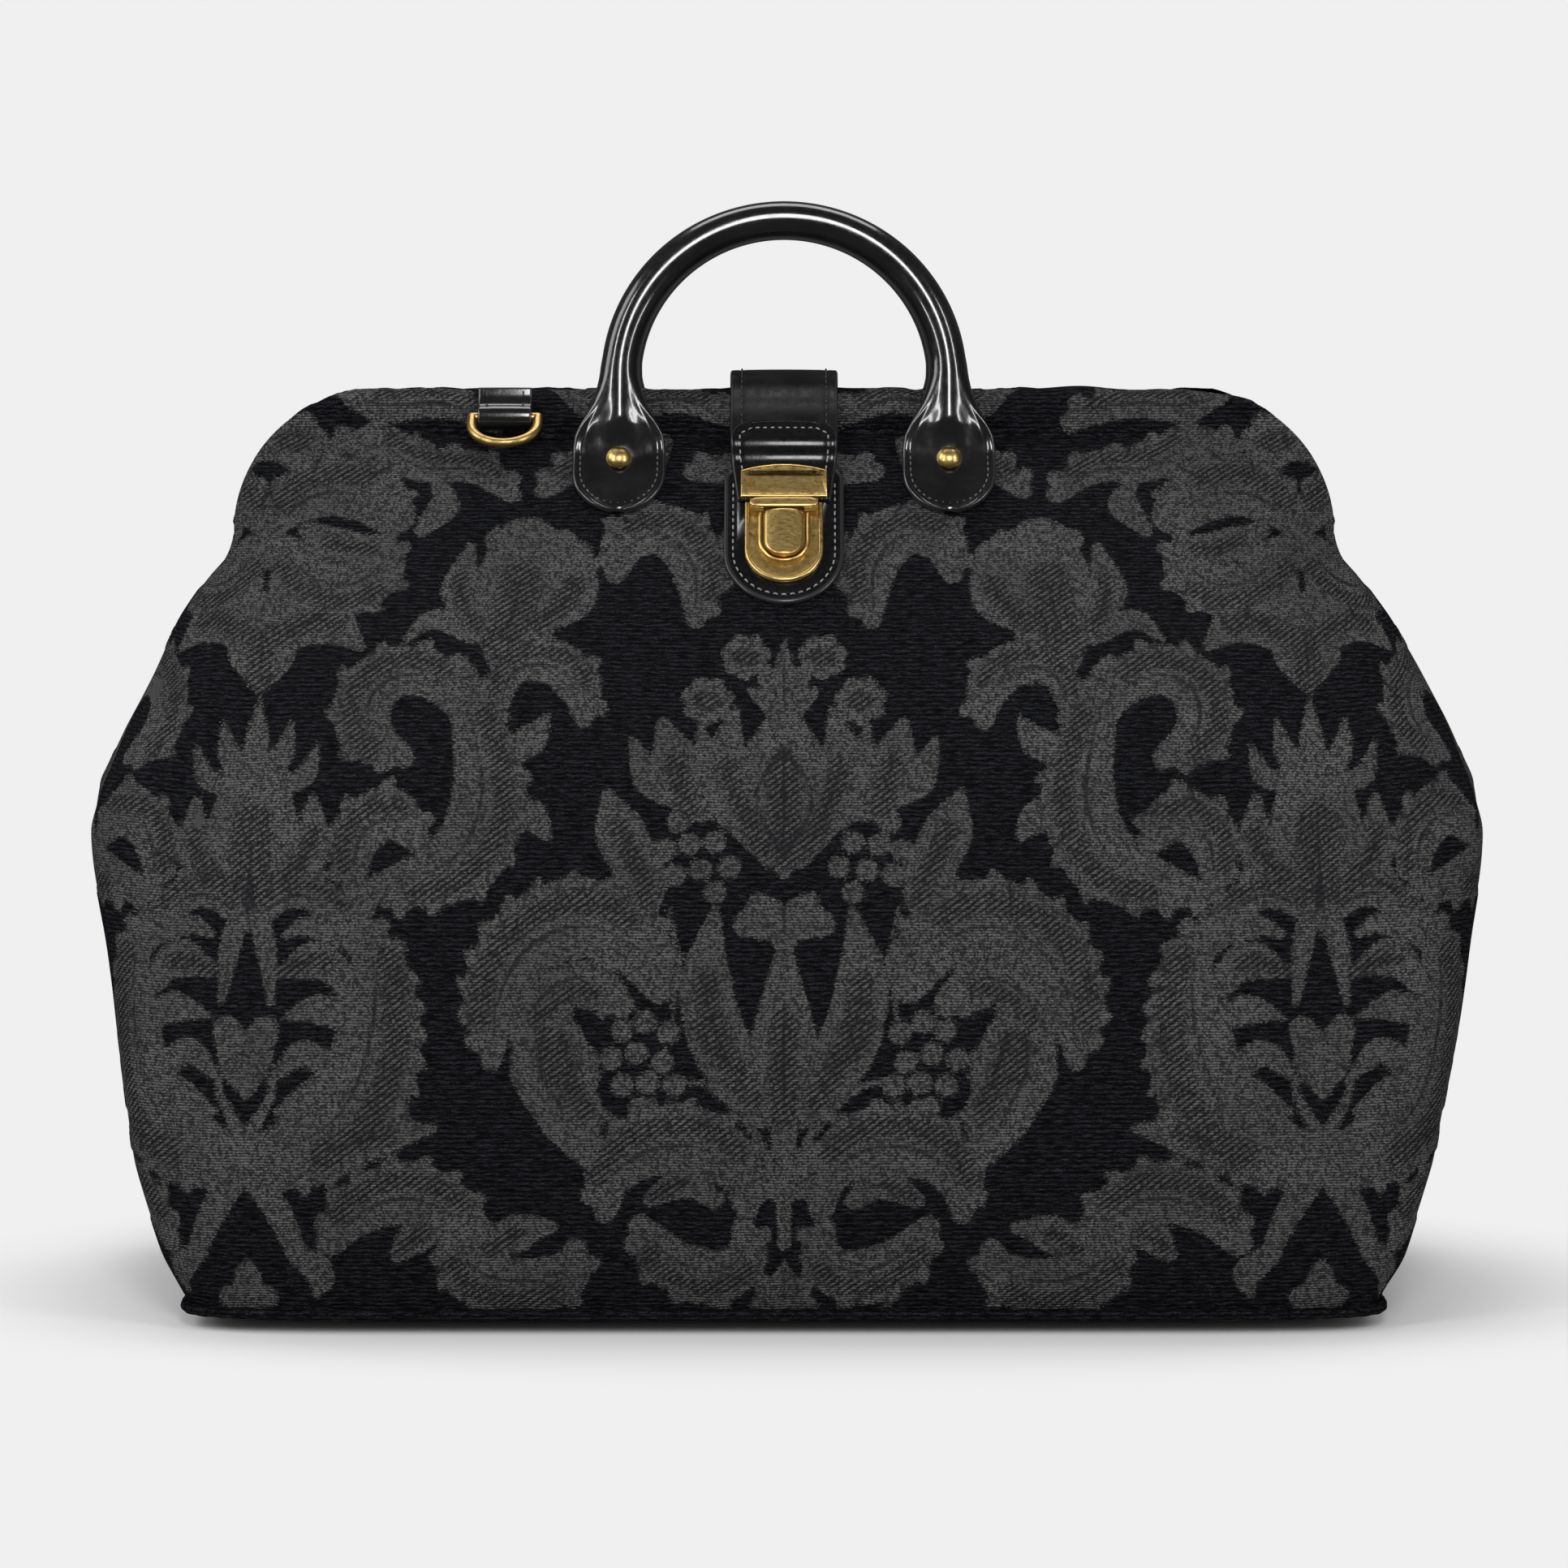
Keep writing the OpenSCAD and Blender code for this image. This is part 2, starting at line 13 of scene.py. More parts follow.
import bmesh
import bpy
import numpy as np
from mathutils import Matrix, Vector


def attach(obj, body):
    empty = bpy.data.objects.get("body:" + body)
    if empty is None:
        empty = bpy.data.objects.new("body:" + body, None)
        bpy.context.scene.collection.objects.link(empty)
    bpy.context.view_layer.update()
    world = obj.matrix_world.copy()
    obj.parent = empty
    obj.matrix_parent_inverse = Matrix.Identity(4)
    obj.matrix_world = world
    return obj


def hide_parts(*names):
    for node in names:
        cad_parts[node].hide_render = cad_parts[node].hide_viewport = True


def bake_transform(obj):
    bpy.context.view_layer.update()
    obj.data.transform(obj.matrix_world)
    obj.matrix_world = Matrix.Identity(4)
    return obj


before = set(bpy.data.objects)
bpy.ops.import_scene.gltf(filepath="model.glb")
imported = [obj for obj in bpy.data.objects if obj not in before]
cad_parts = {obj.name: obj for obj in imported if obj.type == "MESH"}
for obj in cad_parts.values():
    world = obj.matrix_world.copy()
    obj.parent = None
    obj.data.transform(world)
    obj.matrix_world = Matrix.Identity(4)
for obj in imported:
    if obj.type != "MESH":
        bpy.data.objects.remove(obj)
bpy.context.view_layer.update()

LOG = logging.getLogger("doctor_bag")
MM = 0.001
Array = np.ndarray
Mesh = tuple[Array, list]
Points = Sequence[Sequence[float]]
Piece = bpy.types.Object
Socket = bpy.types.NodeSocket


# ---------------------------------------------------------------- shared geometry


class Side(Enum):
    """The two halves of the bag: the front one faces -Y."""

    FRONT = 1.0
    BACK = -1.0

    @property
    def word(self) -> str:
        """Name used for pieces and nodes of this half."""
        return self.name.lower()


def smoothstep(low: float, high: float, x: Array) -> Array:
    """Smooth ramp from 0 at low to 1 at high.

    Args:
        low: Where the ramp starts.
        high: Where it ends.
        x: Values to map.

    Returns:
        The ramp's values, from 0 to 1.
    """
    t = np.clip((np.asarray(x, float) - low) / (high - low), 0.0, 1.0)
    return t * t * (3.0 - 2.0 * t)


def catmull(points: Points, step: float) -> Array:
    """Smooth curve through points.

    Args:
        points: The points, each of two or three numbers.
        step: Wanted distance between samples.

    Returns:
        Samples along the curve, about one step apart.
    """
    p = np.asarray(points, float)
    p = np.vstack([2 * p[0] - p[1], p, 2 * p[-1] - p[-2]])
    found = []
    for a, b, c, d in zip(p[:-3], p[1:-2], p[2:-1], p[3:]):
        count = max(3, int(np.linalg.norm(c - b) / step) * 3)
        t = np.linspace(0, 1, count, endpoint=False)[:, None]
        found.append(0.5 * (2 * b + (c - a) * t + (2 * a - 5 * b + 4 * c - d) * t**2
                            + (3 * b - a - 3 * c + d) * t**3))
    curve = np.vstack(found + [p[-2][None]])
    return resample(curve, max(2, int(round(arc(curve)[-1] / step)) + 1))


def arc(curve: Array) -> Array:
    """Distance along a curve at each of its points."""
    return np.concatenate([[0.0], np.cumsum(np.linalg.norm(np.diff(curve, axis=0), axis=1))])


def resample(curve: Array, count: int) -> Array:
    """The same curve with count points an equal distance apart."""
    s = arc(curve)
    return np.stack([np.interp(np.linspace(0, s[-1], count), s, row) for row in curve.T], axis=1)


def unit(vectors: Array) -> Array:
    """Rows of vectors at length 1."""
    return vectors / np.linalg.norm(vectors, axis=1, keepdims=True)


def quarter_round(share: Array) -> Array:
    """Height of a rounded edge, from 0 at the edge to 1 where share reaches 1."""
    return np.sqrt(np.clip(1 - (1 - np.clip(share, 0, 1)) ** 2, 0, 1))


def bell(x: Array, spread: float) -> Array:
    """Bell curve about 0, of height 1."""
    return np.exp(-((x / spread) ** 2))


def grid_faces(rows: int, cols: int, closed: bool = False) -> Array:
    """Quads over a grid of vertices stored row after row.

    Args:
        rows: Number of rows.
        cols: Number of vertices in a row.
        closed: Joins each row's last vertex to its first.

    Returns:
        An array of four vertex numbers for each quad.
    """
    j, i = np.meshgrid(np.arange(rows - 1), np.arange(cols if closed else cols - 1), indexing="ij")
    k = (i + 1) % cols
    low, high = j * cols, (j + 1) * cols
    return np.stack([low + i, low + k, high + k, high + i], axis=-1).reshape(-1, 4)


def grid_normals(points: Array) -> Array:
    """Unit normals of a grid of points, from its neighbours' differences."""
    n = np.cross(np.gradient(points, axis=1), np.gradient(points, axis=0))
    return n / np.maximum(np.linalg.norm(n, axis=2, keepdims=True), 1e-9)


def make_piece(name: str, points: Array, faces: Sequence, finish: "Finish",
               values: Optional[dict[str, Array]] = None, flip: bool = False) -> Piece:
    """Makes a smooth mesh object from points in millimetres.

    Args:
        name: The piece's name.
        points: Vertex places, as N rows of three.
        faces: Vertex numbers of each face.
        finish: The finish that it is dressed in.
        values: Named numbers or vectors for each vertex, kept as attributes.
        flip: Turns the faces round, as a mirrored piece needs.

    Returns:
        The new object.
    """
    mesh = bpy.data.meshes.new(name)
    listed = [list(map(int, f))[::-1] if flip else list(map(int, f)) for f in faces]
    mesh.from_pydata((np.asarray(points, float) * MM).tolist(), [], listed)
    for key, data in (values or {}).items():
        data = np.asarray(data, np.float32)
        if data.ndim == 1:
            mesh.attributes.new(key, "FLOAT", "POINT").data.foreach_set("value", data)
        else:
            mesh.attributes.new(key, "FLOAT_VECTOR", "POINT").data.foreach_set("vector", data.ravel())
    mesh.polygons.foreach_set("use_smooth", [True] * len(mesh.polygons))
    mesh.update()
    piece = bpy.data.objects.new(name, mesh)
    bpy.context.scene.collection.objects.link(piece)
    mesh.materials.append(finish.material())
    return piece


def loft(sections: Array) -> Mesh:
    """Skin over closed sections, capped at both ends.

    Args:
        sections: Points as section, place on the section, coordinate.

    Returns:
        Vertices and faces.
    """
    count, around, _ = sections.shape
    faces = [tuple(f) for f in grid_faces(count, around, closed=True)]
    faces.append(tuple(range(around))[::-1])
    faces.append(tuple((count - 1) * around + i for i in range(around)))
    return sections.reshape(-1, 3), faces


def lathe(profile: Points, around: int = 40) -> Mesh:
    """Turned solid about its own Z axis.

    Args:
        profile: Radius and height pairs from the bottom to the top, which lies on the axis.
        around: Number of vertices round the axis.

    Returns:
        Vertices and faces.
    """
    a = np.linspace(0, 2 * math.pi, around, endpoint=False)
    rings = [np.stack([r * np.cos(a), r * np.sin(a), np.full(around, h)], axis=1) for r, h in profile]
    return loft(np.stack(rings))


def joined(parts: Sequence[Mesh]) -> Mesh:
    """Several meshes as one list of vertices and faces.

    Args:
        parts: The meshes.

    Returns:
        Vertices and faces.
    """
    points, faces, start = [], [], 0
    for p, f in parts:
        points.append(p)
        faces += [tuple(int(i) + start for i in face) for face in f]
        start += len(p)
    return np.vstack(points), faces


@dataclass(frozen=True)
class Slope:
    """The straight slope of the upper panels that the lock and the handle pads lie on.

    Attributes:
        origin_y: Depth of the point that heights along the slope are counted from.
        origin_z: Its level.
        tilt: Lean of the slope from the vertical, in radians.
    """

    origin_y: float = 44.433
    origin_z: float = 275.5
    tilt: float = math.atan(38.0 / 53.0)

    def point(self, x: Array, v: Array, n: Array) -> Array:
        """Place on the front slope.

        Args:
            x: Distance across.
            v: Distance up the slope.
            n: Height above the cloth.

        Returns:
            Points in the frame of the part.
        """
        s, c = math.sin(self.tilt), math.cos(self.tilt)
        x, v, n = np.broadcast_arrays(np.asarray(x, float), v, n)
        return np.stack([x, -self.origin_y + v * s - n * c, self.origin_z + v * c + n * s], axis=-1)

    @property
    def out(self) -> Array:
        """Direction out of the front slope."""
        return np.array([0.0, -math.cos(self.tilt), math.sin(self.tilt)])

    @property
    def up(self) -> Array:
        """Direction up the front slope."""
        return np.array([0.0, math.sin(self.tilt), math.cos(self.tilt)])


SLOPE = Slope()


def mirrored(points: Array, side: Side) -> Array:
    """Points of the front half moved to the given half."""
    return points * np.array([1.0, side.value, 1.0])


# ---------------------------------------------------------------- finishes


class Recipe:
    """Builds the node tree of one material."""

    def __init__(self, name: str) -> None:
        """Starts an empty material of that name.

        Args:
            name: The material's name.
        """
        self.made = bpy.data.materials.new(name)
        self.made.use_nodes = True
        self.tree = self.made.node_tree
        self.shader = self.tree.nodes["Principled BSDF"]

    def node(self, kind: str, **settings: object) -> bpy.types.Node:
        """Adds a node and sets its properties.

        Args:
            kind: Blender's name for the node.
            settings: Properties of the node.

        Returns:
            The node.
        """
        made = self.tree.nodes.new(kind)
        for key, value in settings.items():
            setattr(made, key, value)
        return made

    def put(self, socket: Socket, value: object) -> None:
        """Links a socket or sets a constant on an input.

        Args:
            socket: The input.
            value: A socket to link, or a constant.
        """
        if isinstance(value, Socket):
            self.tree.links.new(value, socket)
        else:
            socket.default_value = value

    def fill(self, node: bpy.types.Node, *first: object, **named: object) -> bpy.types.Node:
        """Sets or links a node's inputs.

        Args:
            node: The node.
            first: Values of its first inputs, in order.
            named: Values by input name, with _ for spaces.

        Returns:
            The same node.
        """
        for socket, value in zip(node.inputs, first):
            self.put(socket, value)
        for key, value in named.items():
            self.put(node.inputs[key.replace("_", " ")], value)
        return node

    def math(self, operation: str, a: object, b: object = 0.0, clamp: bool = False) -> Socket:
        """Result of a Math node on two values."""
        return self.fill(self.node("ShaderNodeMath", operation=operation, use_clamp=clamp), a, b).outputs[0]

    def ramp(self, value: object, low: float, high: float, start: float = 0.0, end: float = 1.0) -> Socket:
        """Smooth ramp of a value between low and high, clamped."""
        made = self.node("ShaderNodeMapRange", interpolation_type="SMOOTHSTEP")
        return self.fill(made, value, low, high, start, end).outputs[0]

    def mix(self, share: object, a: object, b: object) -> Socket:
        """Colour between a and b.

        Args:
            share: Share of b.
            a: A colour or a socket.
            b: A colour or a socket.

        Returns:
            The colour.
        """
        made = self.node("ShaderNodeMix", data_type="RGBA")
        self.put(made.inputs[0], share)
        for socket, value in ((made.inputs[6], a), (made.inputs[7], b)):
            self.put(socket, (*value, 1.0) if isinstance(value, tuple) else value)
        return made.outputs[2]

    def blend(self, share: object, a: object, b: object) -> Socket:
        """Number between a and b."""
        return self.fill(self.node("ShaderNodeMix", data_type="FLOAT"), share, A=a, B=b).outputs[0]

    def place(self, scale: tuple[float, float, float], attribute: Optional[str] = None) -> Socket:
        """Stretched coordinates, from a named attribute or from the object in metres.

        Args:
            scale: Stretch along each axis.
            attribute: Name of the attribute, or none for the object.

        Returns:
            The coordinates.
        """
        if attribute:
            source = self.node("ShaderNodeAttribute", attribute_name=attribute).outputs["Vector"]
        else:
            source = self.node("ShaderNodeTexCoord").outputs["Object"]
        return self.fill(self.node("ShaderNodeMapping"), source, Scale=scale).outputs[0]

    def noise(self, vector: Socket, scale: float = 1.0, detail: float = 3.0, rough: float = 0.55) -> Socket:
        """Noise over a vector."""
        made = self.node("ShaderNodeTexNoise")
        return self.fill(made, Vector=vector, Scale=scale, Detail=detail, Roughness=rough).outputs["Fac"]

    def wave(self, vector: Socket, bands: str, **inputs: float) -> Socket:
        """Bands over a vector."""
        made = self.node("ShaderNodeTexWave", bands_direction=bands)
        return self.fill(made, Vector=vector, **inputs).outputs["Fac"]

    def cells(self, vector: Socket, scale: float, output: str = "Distance") -> Socket:
        """Voronoi cells over a vector."""
        return self.fill(self.node("ShaderNodeTexVoronoi"), Vector=vector, Scale=scale).outputs[output]

    def number(self, attribute: str) -> Socket:
        """A mesh's own number at each vertex."""
        return self.node("ShaderNodeAttribute", attribute_name=attribute).outputs["Fac"]

    def bump(self, height: Socket, depth: float, strength: float = 1.0) -> None:
        """Adds relief of the given depth in metres.

        Args:
            height: The relief, from 0 to about 1.
            depth: Its depth.
            strength: Share of it that is used.
        """
        made = self.fill(self.node("ShaderNodeBump"), Strength=strength, Distance=depth, Height=height)
        before = self.shader.inputs["Normal"].links
        if before:
            self.put(made.inputs["Normal"], before[0].from_socket)
        self.set(Normal=made.outputs["Normal"])

    def set(self, **values: object) -> None:
        """Sets or links inputs of the shader."""
        self.fill(self.shader, **values)


@dataclass(frozen=True)
class Finish:
    """A finish that pieces are dressed in.

    Attributes:
        name: The material's name.
    """

    name: str

    def recipe(self) -> Recipe:
        """Builds the node tree. Each finish has its own."""
        raise NotImplementedError

    def material(self) -> bpy.types.Material:
        """The finish's material, made once."""
        return bpy.data.materials.get(self.name) or self.recipe().made


BAND = 0.314  # scale of a wave texture whose bands lie 1 apart

# Linear colours of the chenille pile, with a painted glint on its fibre tips and painted shade in its
# valleys, and of the flat weave of the pattern.
PILE_DARK = (0.0018, 0.0019, 0.0024)
PILE_LIGHT = (0.025, 0.026, 0.033)
# painted highlight: glint on the tips of the pile's fibres
PAINTED_FIBRE_GLINT = (0.085, 0.089, 0.105)
# painted shade: the valleys between tufts and between ribs of the pile
PAINTED_TUFT_SHADE = (0.0016, 0.0016, 0.0019)
PAINTED_RIB_SHADE = (0.0012, 0.0012, 0.0015)
WEAVE_DULL = (0.1, 0.097, 0.096)
WEAVE_BRIGHT = (0.13, 0.126, 0.124)
KNOT_GAP = (0.02, 0.02, 0.0205)
WEFT_GAP = (0.01, 0.01, 0.0105)
GRAIN_GAP = (0.014, 0.014, 0.0145)
TWILL_LINE = (0.006, 0.006, 0.0075)
VEIN_LINE = (0.01, 0.01, 0.012)


@dataclass(frozen=True)
class WovenCloth(Finish):
    """Black chenille with a flat grey woven pattern.

    Attributes:
        patterned: Whether the mesh carries the pattern's fields.
        rib: Pitch of the chenille ribs, in millimetres.
    """

    patterned: bool = True
    rib: float = 1.7

    def recipe(self) -> Recipe:
        """Builds the weave from the cloth's own coordinates in millimetres.

        Returns:
            The finished recipe.
        """
        r = Recipe(self.name)
        per_mm = 1.0 if self.patterned else 1000.0
        source = "cloth" if self.patterned else None

        def at(x: float, y: float) -> Socket:
            """Cloth coordinates times x across and y up."""
            return r.place((x * per_mm, y * per_mm, y * per_mm), source)

        fuzz = r.noise(at(0.5, 1.7), detail=5.0, rough=0.7)
        streak = r.noise(at(0.3, 2.0), detail=5.0, rough=0.75)
        glint = r.noise(at(1.6, 3.8), detail=3.0, rough=0.7)
        ribs = r.wave(at(1.0, 1.0), "Y" if self.patterned else "Z", Scale=BAND / self.rib,
                      Distortion=3.4, Detail=3.0, Detail_Scale=2.2)
        tuft = r.noise(at(0.16, 1.1), detail=4.0, rough=0.7)
        colour = r.mix(r.ramp(streak, 0.4, 0.64), PILE_DARK, PILE_LIGHT)
        # painted highlight: fibre tips lightened to stand in for their glint
        colour = r.mix(r.ramp(glint, 0.54, 0.7, 0.0, 0.8), colour, PAINTED_FIBRE_GLINT)
        # painted shade where the tuft and rib relief is low
        colour = r.mix(r.ramp(tuft, 0.38, 0.56, 0.9, 0.0), colour, PAINTED_TUFT_SHADE)
        colour = r.mix(r.ramp(ribs, 0.0, 0.5, 0.8, 0.0), colour, PAINTED_RIB_SHADE)
        relief = r.math("ADD", r.math("MULTIPLY", ribs, 0.5), r.math("MULTIPLY", tuft, 1.4))
        relief = r.math("ADD", relief, r.math("MULTIPLY", fuzz, 0.8))
        if self.patterned:
            edge = r.math("ADD", r.number("motif"), r.math("MULTIPLY", r.math("SUBTRACT", fuzz, 0.5), 7.0))
            inside = r.ramp(edge, -0.25, 0.25, 1.0, 0.0)
            flat, flat_relief = self.flat_weave(r, at)
            colour = r.mix(inside, colour, flat)
            relief = r.blend(inside, relief, r.math("MULTIPLY", flat_relief, 0.28))
        r.set(Base_Color=colour, Roughness=0.8, Specular_IOR_Level=0.04)
        r.bump(relief, 0.0012)
        return r

    def flat_weave(self, r: Recipe, at: Callable) -> tuple[Socket, Socket]:
        """Colour and relief of the flat woven pattern.

        Args:
            r: The recipe being built.
            at: Gives stretched cloth coordinates.

        Returns:
            The colour and the relief.
        """
        weft = r.wave(at(1.0, 1.0), "Y", Scale=BAND / 0.95, Distortion=1.2)
        twill = r.wave(at(1.0, 1.35), "DIAGONAL", Scale=BAND / 1.6, Distortion=1.0)
        knots = r.node("ShaderNodeSeparateColor")
        r.put(knots.inputs[0], r.cells(at(1.2, 1.2), 1.2, "Color"))
        grain = r.noise(at(1.5, 2.6), detail=3.0, rough=0.8)
        tone = r.noise(at(0.03, 0.03), detail=2.0)
        base = r.mix(r.ramp(tone, 0.35, 0.65), WEAVE_DULL, WEAVE_BRIGHT)
        base = r.mix(r.ramp(knots.outputs[0], 0.1, 0.9, 1.0, 0.0), base, KNOT_GAP)
        base = r.mix(r.ramp(weft, 0.0, 0.6, 0.75, 0.0), base, WEFT_GAP)
        base = r.mix(r.ramp(grain, 0.4, 0.55, 0.5, 0.0), base, GRAIN_GAP)
        lines = r.math("MULTIPLY", r.ramp(twill, 0.2, 0.62, 0.85, 0.0), r.number("shade"))
        base = r.mix(lines, base, TWILL_LINE)
        dust = r.math("MULTIPLY", r.math("SUBTRACT", grain, 0.5), 1.6)
        vein = r.ramp(r.math("ADD", r.number("vein"), dust), 0.0, 0.7, 0.75, 0.0)
        base = r.mix(vein, base, VEIN_LINE)
        return base, r.math("ADD", weft, r.math("MULTIPLY", twill, r.number("shade")))


class LeatherKind(Enum):
    """Ways the leather is dressed: base colour, roughness, specular level, coat, grain scale in 1/m."""

    GLOSSY = ((0.0035, 0.0035, 0.0038), 0.2, 0.5, 0.8, 900.0)
    SMOOTH = ((0.005, 0.0045, 0.0048), 0.4, 0.22, 0.0, 1400.0)
    POLISHED = ((0.0022, 0.0022, 0.0026), 0.24, 0.3, 0.3, 1200.0)


@dataclass(frozen=True)
class BlackLeather(Finish):
    """Black grained leather with painted edges where the mesh marks them; their lighter grey is partly edge
    paint and partly a painted highlight.

    Attributes:
        kind: How the leather is dressed.
    """

    kind: LeatherKind = LeatherKind.GLOSSY

    def recipe(self) -> Recipe:
        """Builds grain, creases, colour variation and the painted edge, whose lighter grey is partly a
        painted highlight.

        Returns:
            The finished recipe.
        """
        r = Recipe(self.name)
        colour, rough, level, coat, grain_scale = self.kind.value
        where = r.place((1.0, 1.0, 1.0))
        grain = r.cells(where, grain_scale)
        creases = r.noise(where, grain_scale * 0.35, 6.0, 0.6)
        broad = r.noise(where, 60.0, 3.0)
        lighter = tuple(1.6 * c + 0.001 for c in colour)
        skin = r.mix(r.ramp(broad, 0.35, 0.7), colour, lighter)
        shine = r.ramp(creases, 0.35, 0.7, rough * 0.85, rough * 1.3)
        edge = r.ramp(r.number("edge"), 0.5, 0.8)
        # painted highlight: the marked edge is coloured lighter grey, partly edge paint and partly the
        # highlight on its rounding
        skin = r.mix(edge, skin, (0.014, 0.014, 0.0155))
        shine = r.blend(edge, shine, 0.33)
        r.set(Base_Color=skin, Roughness=shine, Coat_Weight=coat, Coat_Roughness=0.09,
              Specular_IOR_Level=level)
        r.bump(grain, 0.00004, 0.3)
        r.bump(creases, 0.00012, 0.25)
        return r


class BrassKind(Enum):
    """Ways the brass is aged: share of dark patina, roughness, brightness."""

    MOTTLED = (0.72, 0.4, 0.98)
    WORN = (0.34, 0.34, 1.15)
    BRIGHT = (0.14, 0.32, 1.45)


@dataclass(frozen=True)
class AntiqueBrass(Finish):
    """Antiqued brass with dark patina in blotches and fine scratches.

    Attributes:
        kind: How far it is aged.
    """

    kind: BrassKind = BrassKind.WORN

    def recipe(self) -> Recipe:
        """Builds blotches, speckles and scratches.

        Returns:
            The finished recipe.
        """
        r = Recipe(self.name)
        patina, rough, bright = self.kind.value
        where = r.place((1.0, 1.0, 1.0))
        blotch = r.noise(where, 420.0, 6.0, 0.7)
        specks = r.noise(where, 2600.0, 3.0, 0.6)
        scratch = r.noise(r.place((400.0, 3000.0, 900.0)), 1.0, 2.0)
        dark = r.ramp(blotch, 0.62 - 0.3 * patina, 0.68, 0.0, 1.0)
        dark = r.math("MULTIPLY", dark, patina)
        dark = r.math("ADD", dark, r.math("MULTIPLY", r.ramp(specks, 0.55, 0.75), 0.35 * patina), clamp=True)
        gold = (0.5 * bright, 0.345 * bright, 0.125 * bright)
        colour = r.mix(dark, gold, (0.085, 0.055, 0.018))
        dull = r.ramp(scratch, 0.3, 0.7, rough - 0.05, rough + 0.08)
        dull = r.math("ADD", dull, r.math("MULTIPLY", dark, 0.2))
        r.set(Base_Color=colour, Metallic=1.0, Roughness=dull)
        r.bump(specks, 0.00006, 0.35)
        return r


@dataclass(frozen=True)
class FrameSteel(Finish):
    """Plain steel strip with draw marks."""

    def recipe(self) -> Recipe:
        """Builds draw marks and dulling.

        Returns:
            The finished recipe.
        """
        r = Recipe(self.name)
        marks = r.noise(r.place((60.0, 2500.0, 2500.0)), 1.0, 3.0)
        dull = r.noise(r.place((1.0, 1.0, 1.0)), 120.0, 4.0)
        colour = r.mix(r.ramp(dull, 0.3, 0.7), (0.42, 0.42, 0.43), (0.3, 0.3, 0.31))
        r.set(Base_Color=colour, Metallic=1.0, Roughness=r.ramp(marks, 0.3, 0.7, 0.3, 0.45))
        r.bump(marks, 0.00004, 0.3)
        return r


@dataclass(frozen=True)
class LiningTwill(Finish):
    """Plain black twill."""

    def recipe(self) -> Recipe:
        """Builds the twill's fine diagonal and its slight colour change.

        Returns:
            The finished recipe.
        """
        r = Recipe(self.name)
        where = r.place((1.0, 1.0, 1.0))
        twill = r.wave(where, "DIAGONAL", Scale=420.0, Distortion=0.4)
        cloud = r.noise(where, 35.0, 3.0)
        colour = r.mix(r.ramp(cloud, 0.3, 0.7), (0.011, 0.011, 0.012), (0.02, 0.02, 0.022))
        colour = r.mix(r.ramp(twill, 0.0, 0.5, 0.5, 0.0), colour, (0.006, 0.006, 0.007))
        r.set(Base_Color=colour, Roughness=0.7, Sheen_Weight=0.05)
        r.bump(twill, 0.00015, 0.5)
        return r


@dataclass(frozen=True)
class Thread(Finish):
    """Waxed thread with a twist.

    Attributes:
        colour: The thread's colour.
    """

    colour: tuple[float, float, float] = (0.09, 0.09, 0.095)

    def recipe(self) -> Recipe:
        """Builds strands and wax.

        Returns:
            The finished recipe.
        """
        r = Recipe(self.name)
        strands = r.noise(r.place((2500.0, 2500.0, 2500.0)), 1.0, 3.0)
        darker = tuple(0.35 * c for c in self.colour)
        r.set(Base_Color=r.mix(r.ramp(strands, 0.35, 0.65), self.colour, darker), Roughness=0.45)
        r.bump(strands, 0.0001, 0.5)
        return r


@dataclass(frozen=True)
class FibreStuff(Finish):
    """Fibrous stuff out of sight: pressed board or rope.

    Attributes:
        light: Colour of its lightest fibres.
        scale: Fineness of the fibres, in 1/m.
    """

    light: tuple[float, float, float] = (0.16, 0.11, 0.07)
    scale: float = 500.0

    def recipe(self) -> Recipe:
        """Builds fibres in two tones.

        Returns:
            The finished recipe.
        """
        r = Recipe(self.name)
        fibres = r.noise(r.place((1.0, 1.0, 1.6)), self.scale, 5.0, 0.7)
        darker = tuple(0.5 * c for c in self.light)
        r.set(Base_Color=r.mix(r.ramp(fibres, 0.3, 0.7), self.light, darker), Roughness=0.85)
        r.bump(fibres, 0.0004, 0.6)
        return r


CLOTH = WovenCloth("damask_cloth")
PLAIN_CLOTH = WovenCloth("plain_chenille", patterned=False)
LINING = LiningTwill("lining_twill")
GLOSSY_LEATHER = BlackLeather("glossy_leather")
SMOOTH_LEATHER = BlackLeather("smooth_leather", LeatherKind.SMOOTH)
POLISHED_LEATHER = BlackLeather("polished_leather", LeatherKind.POLISHED)
MOTTLED_BRASS = AntiqueBrass("mottled_brass", BrassKind.MOTTLED)
WORN_BRASS = AntiqueBrass("worn_brass", BrassKind.WORN)
BRIGHT_BRASS = AntiqueBrass("bright_brass", BrassKind.BRIGHT)
STEEL = FrameSteel("frame_steel_strip")
DARK_THREAD = Thread("dark_thread", (0.03, 0.03, 0.032))
GREY_THREAD = Thread("grey_thread", (0.1, 0.1, 0.105))
PALE_THREAD = Thread("pale_thread", (0.26, 0.26, 0.265))
BOARD = FibreStuff("pressed_board")
ROPE = FibreStuff("cotton_rope", (0.4, 0.33, 0.22), 900.0)


# ---------------------------------------------------------------- woven pattern


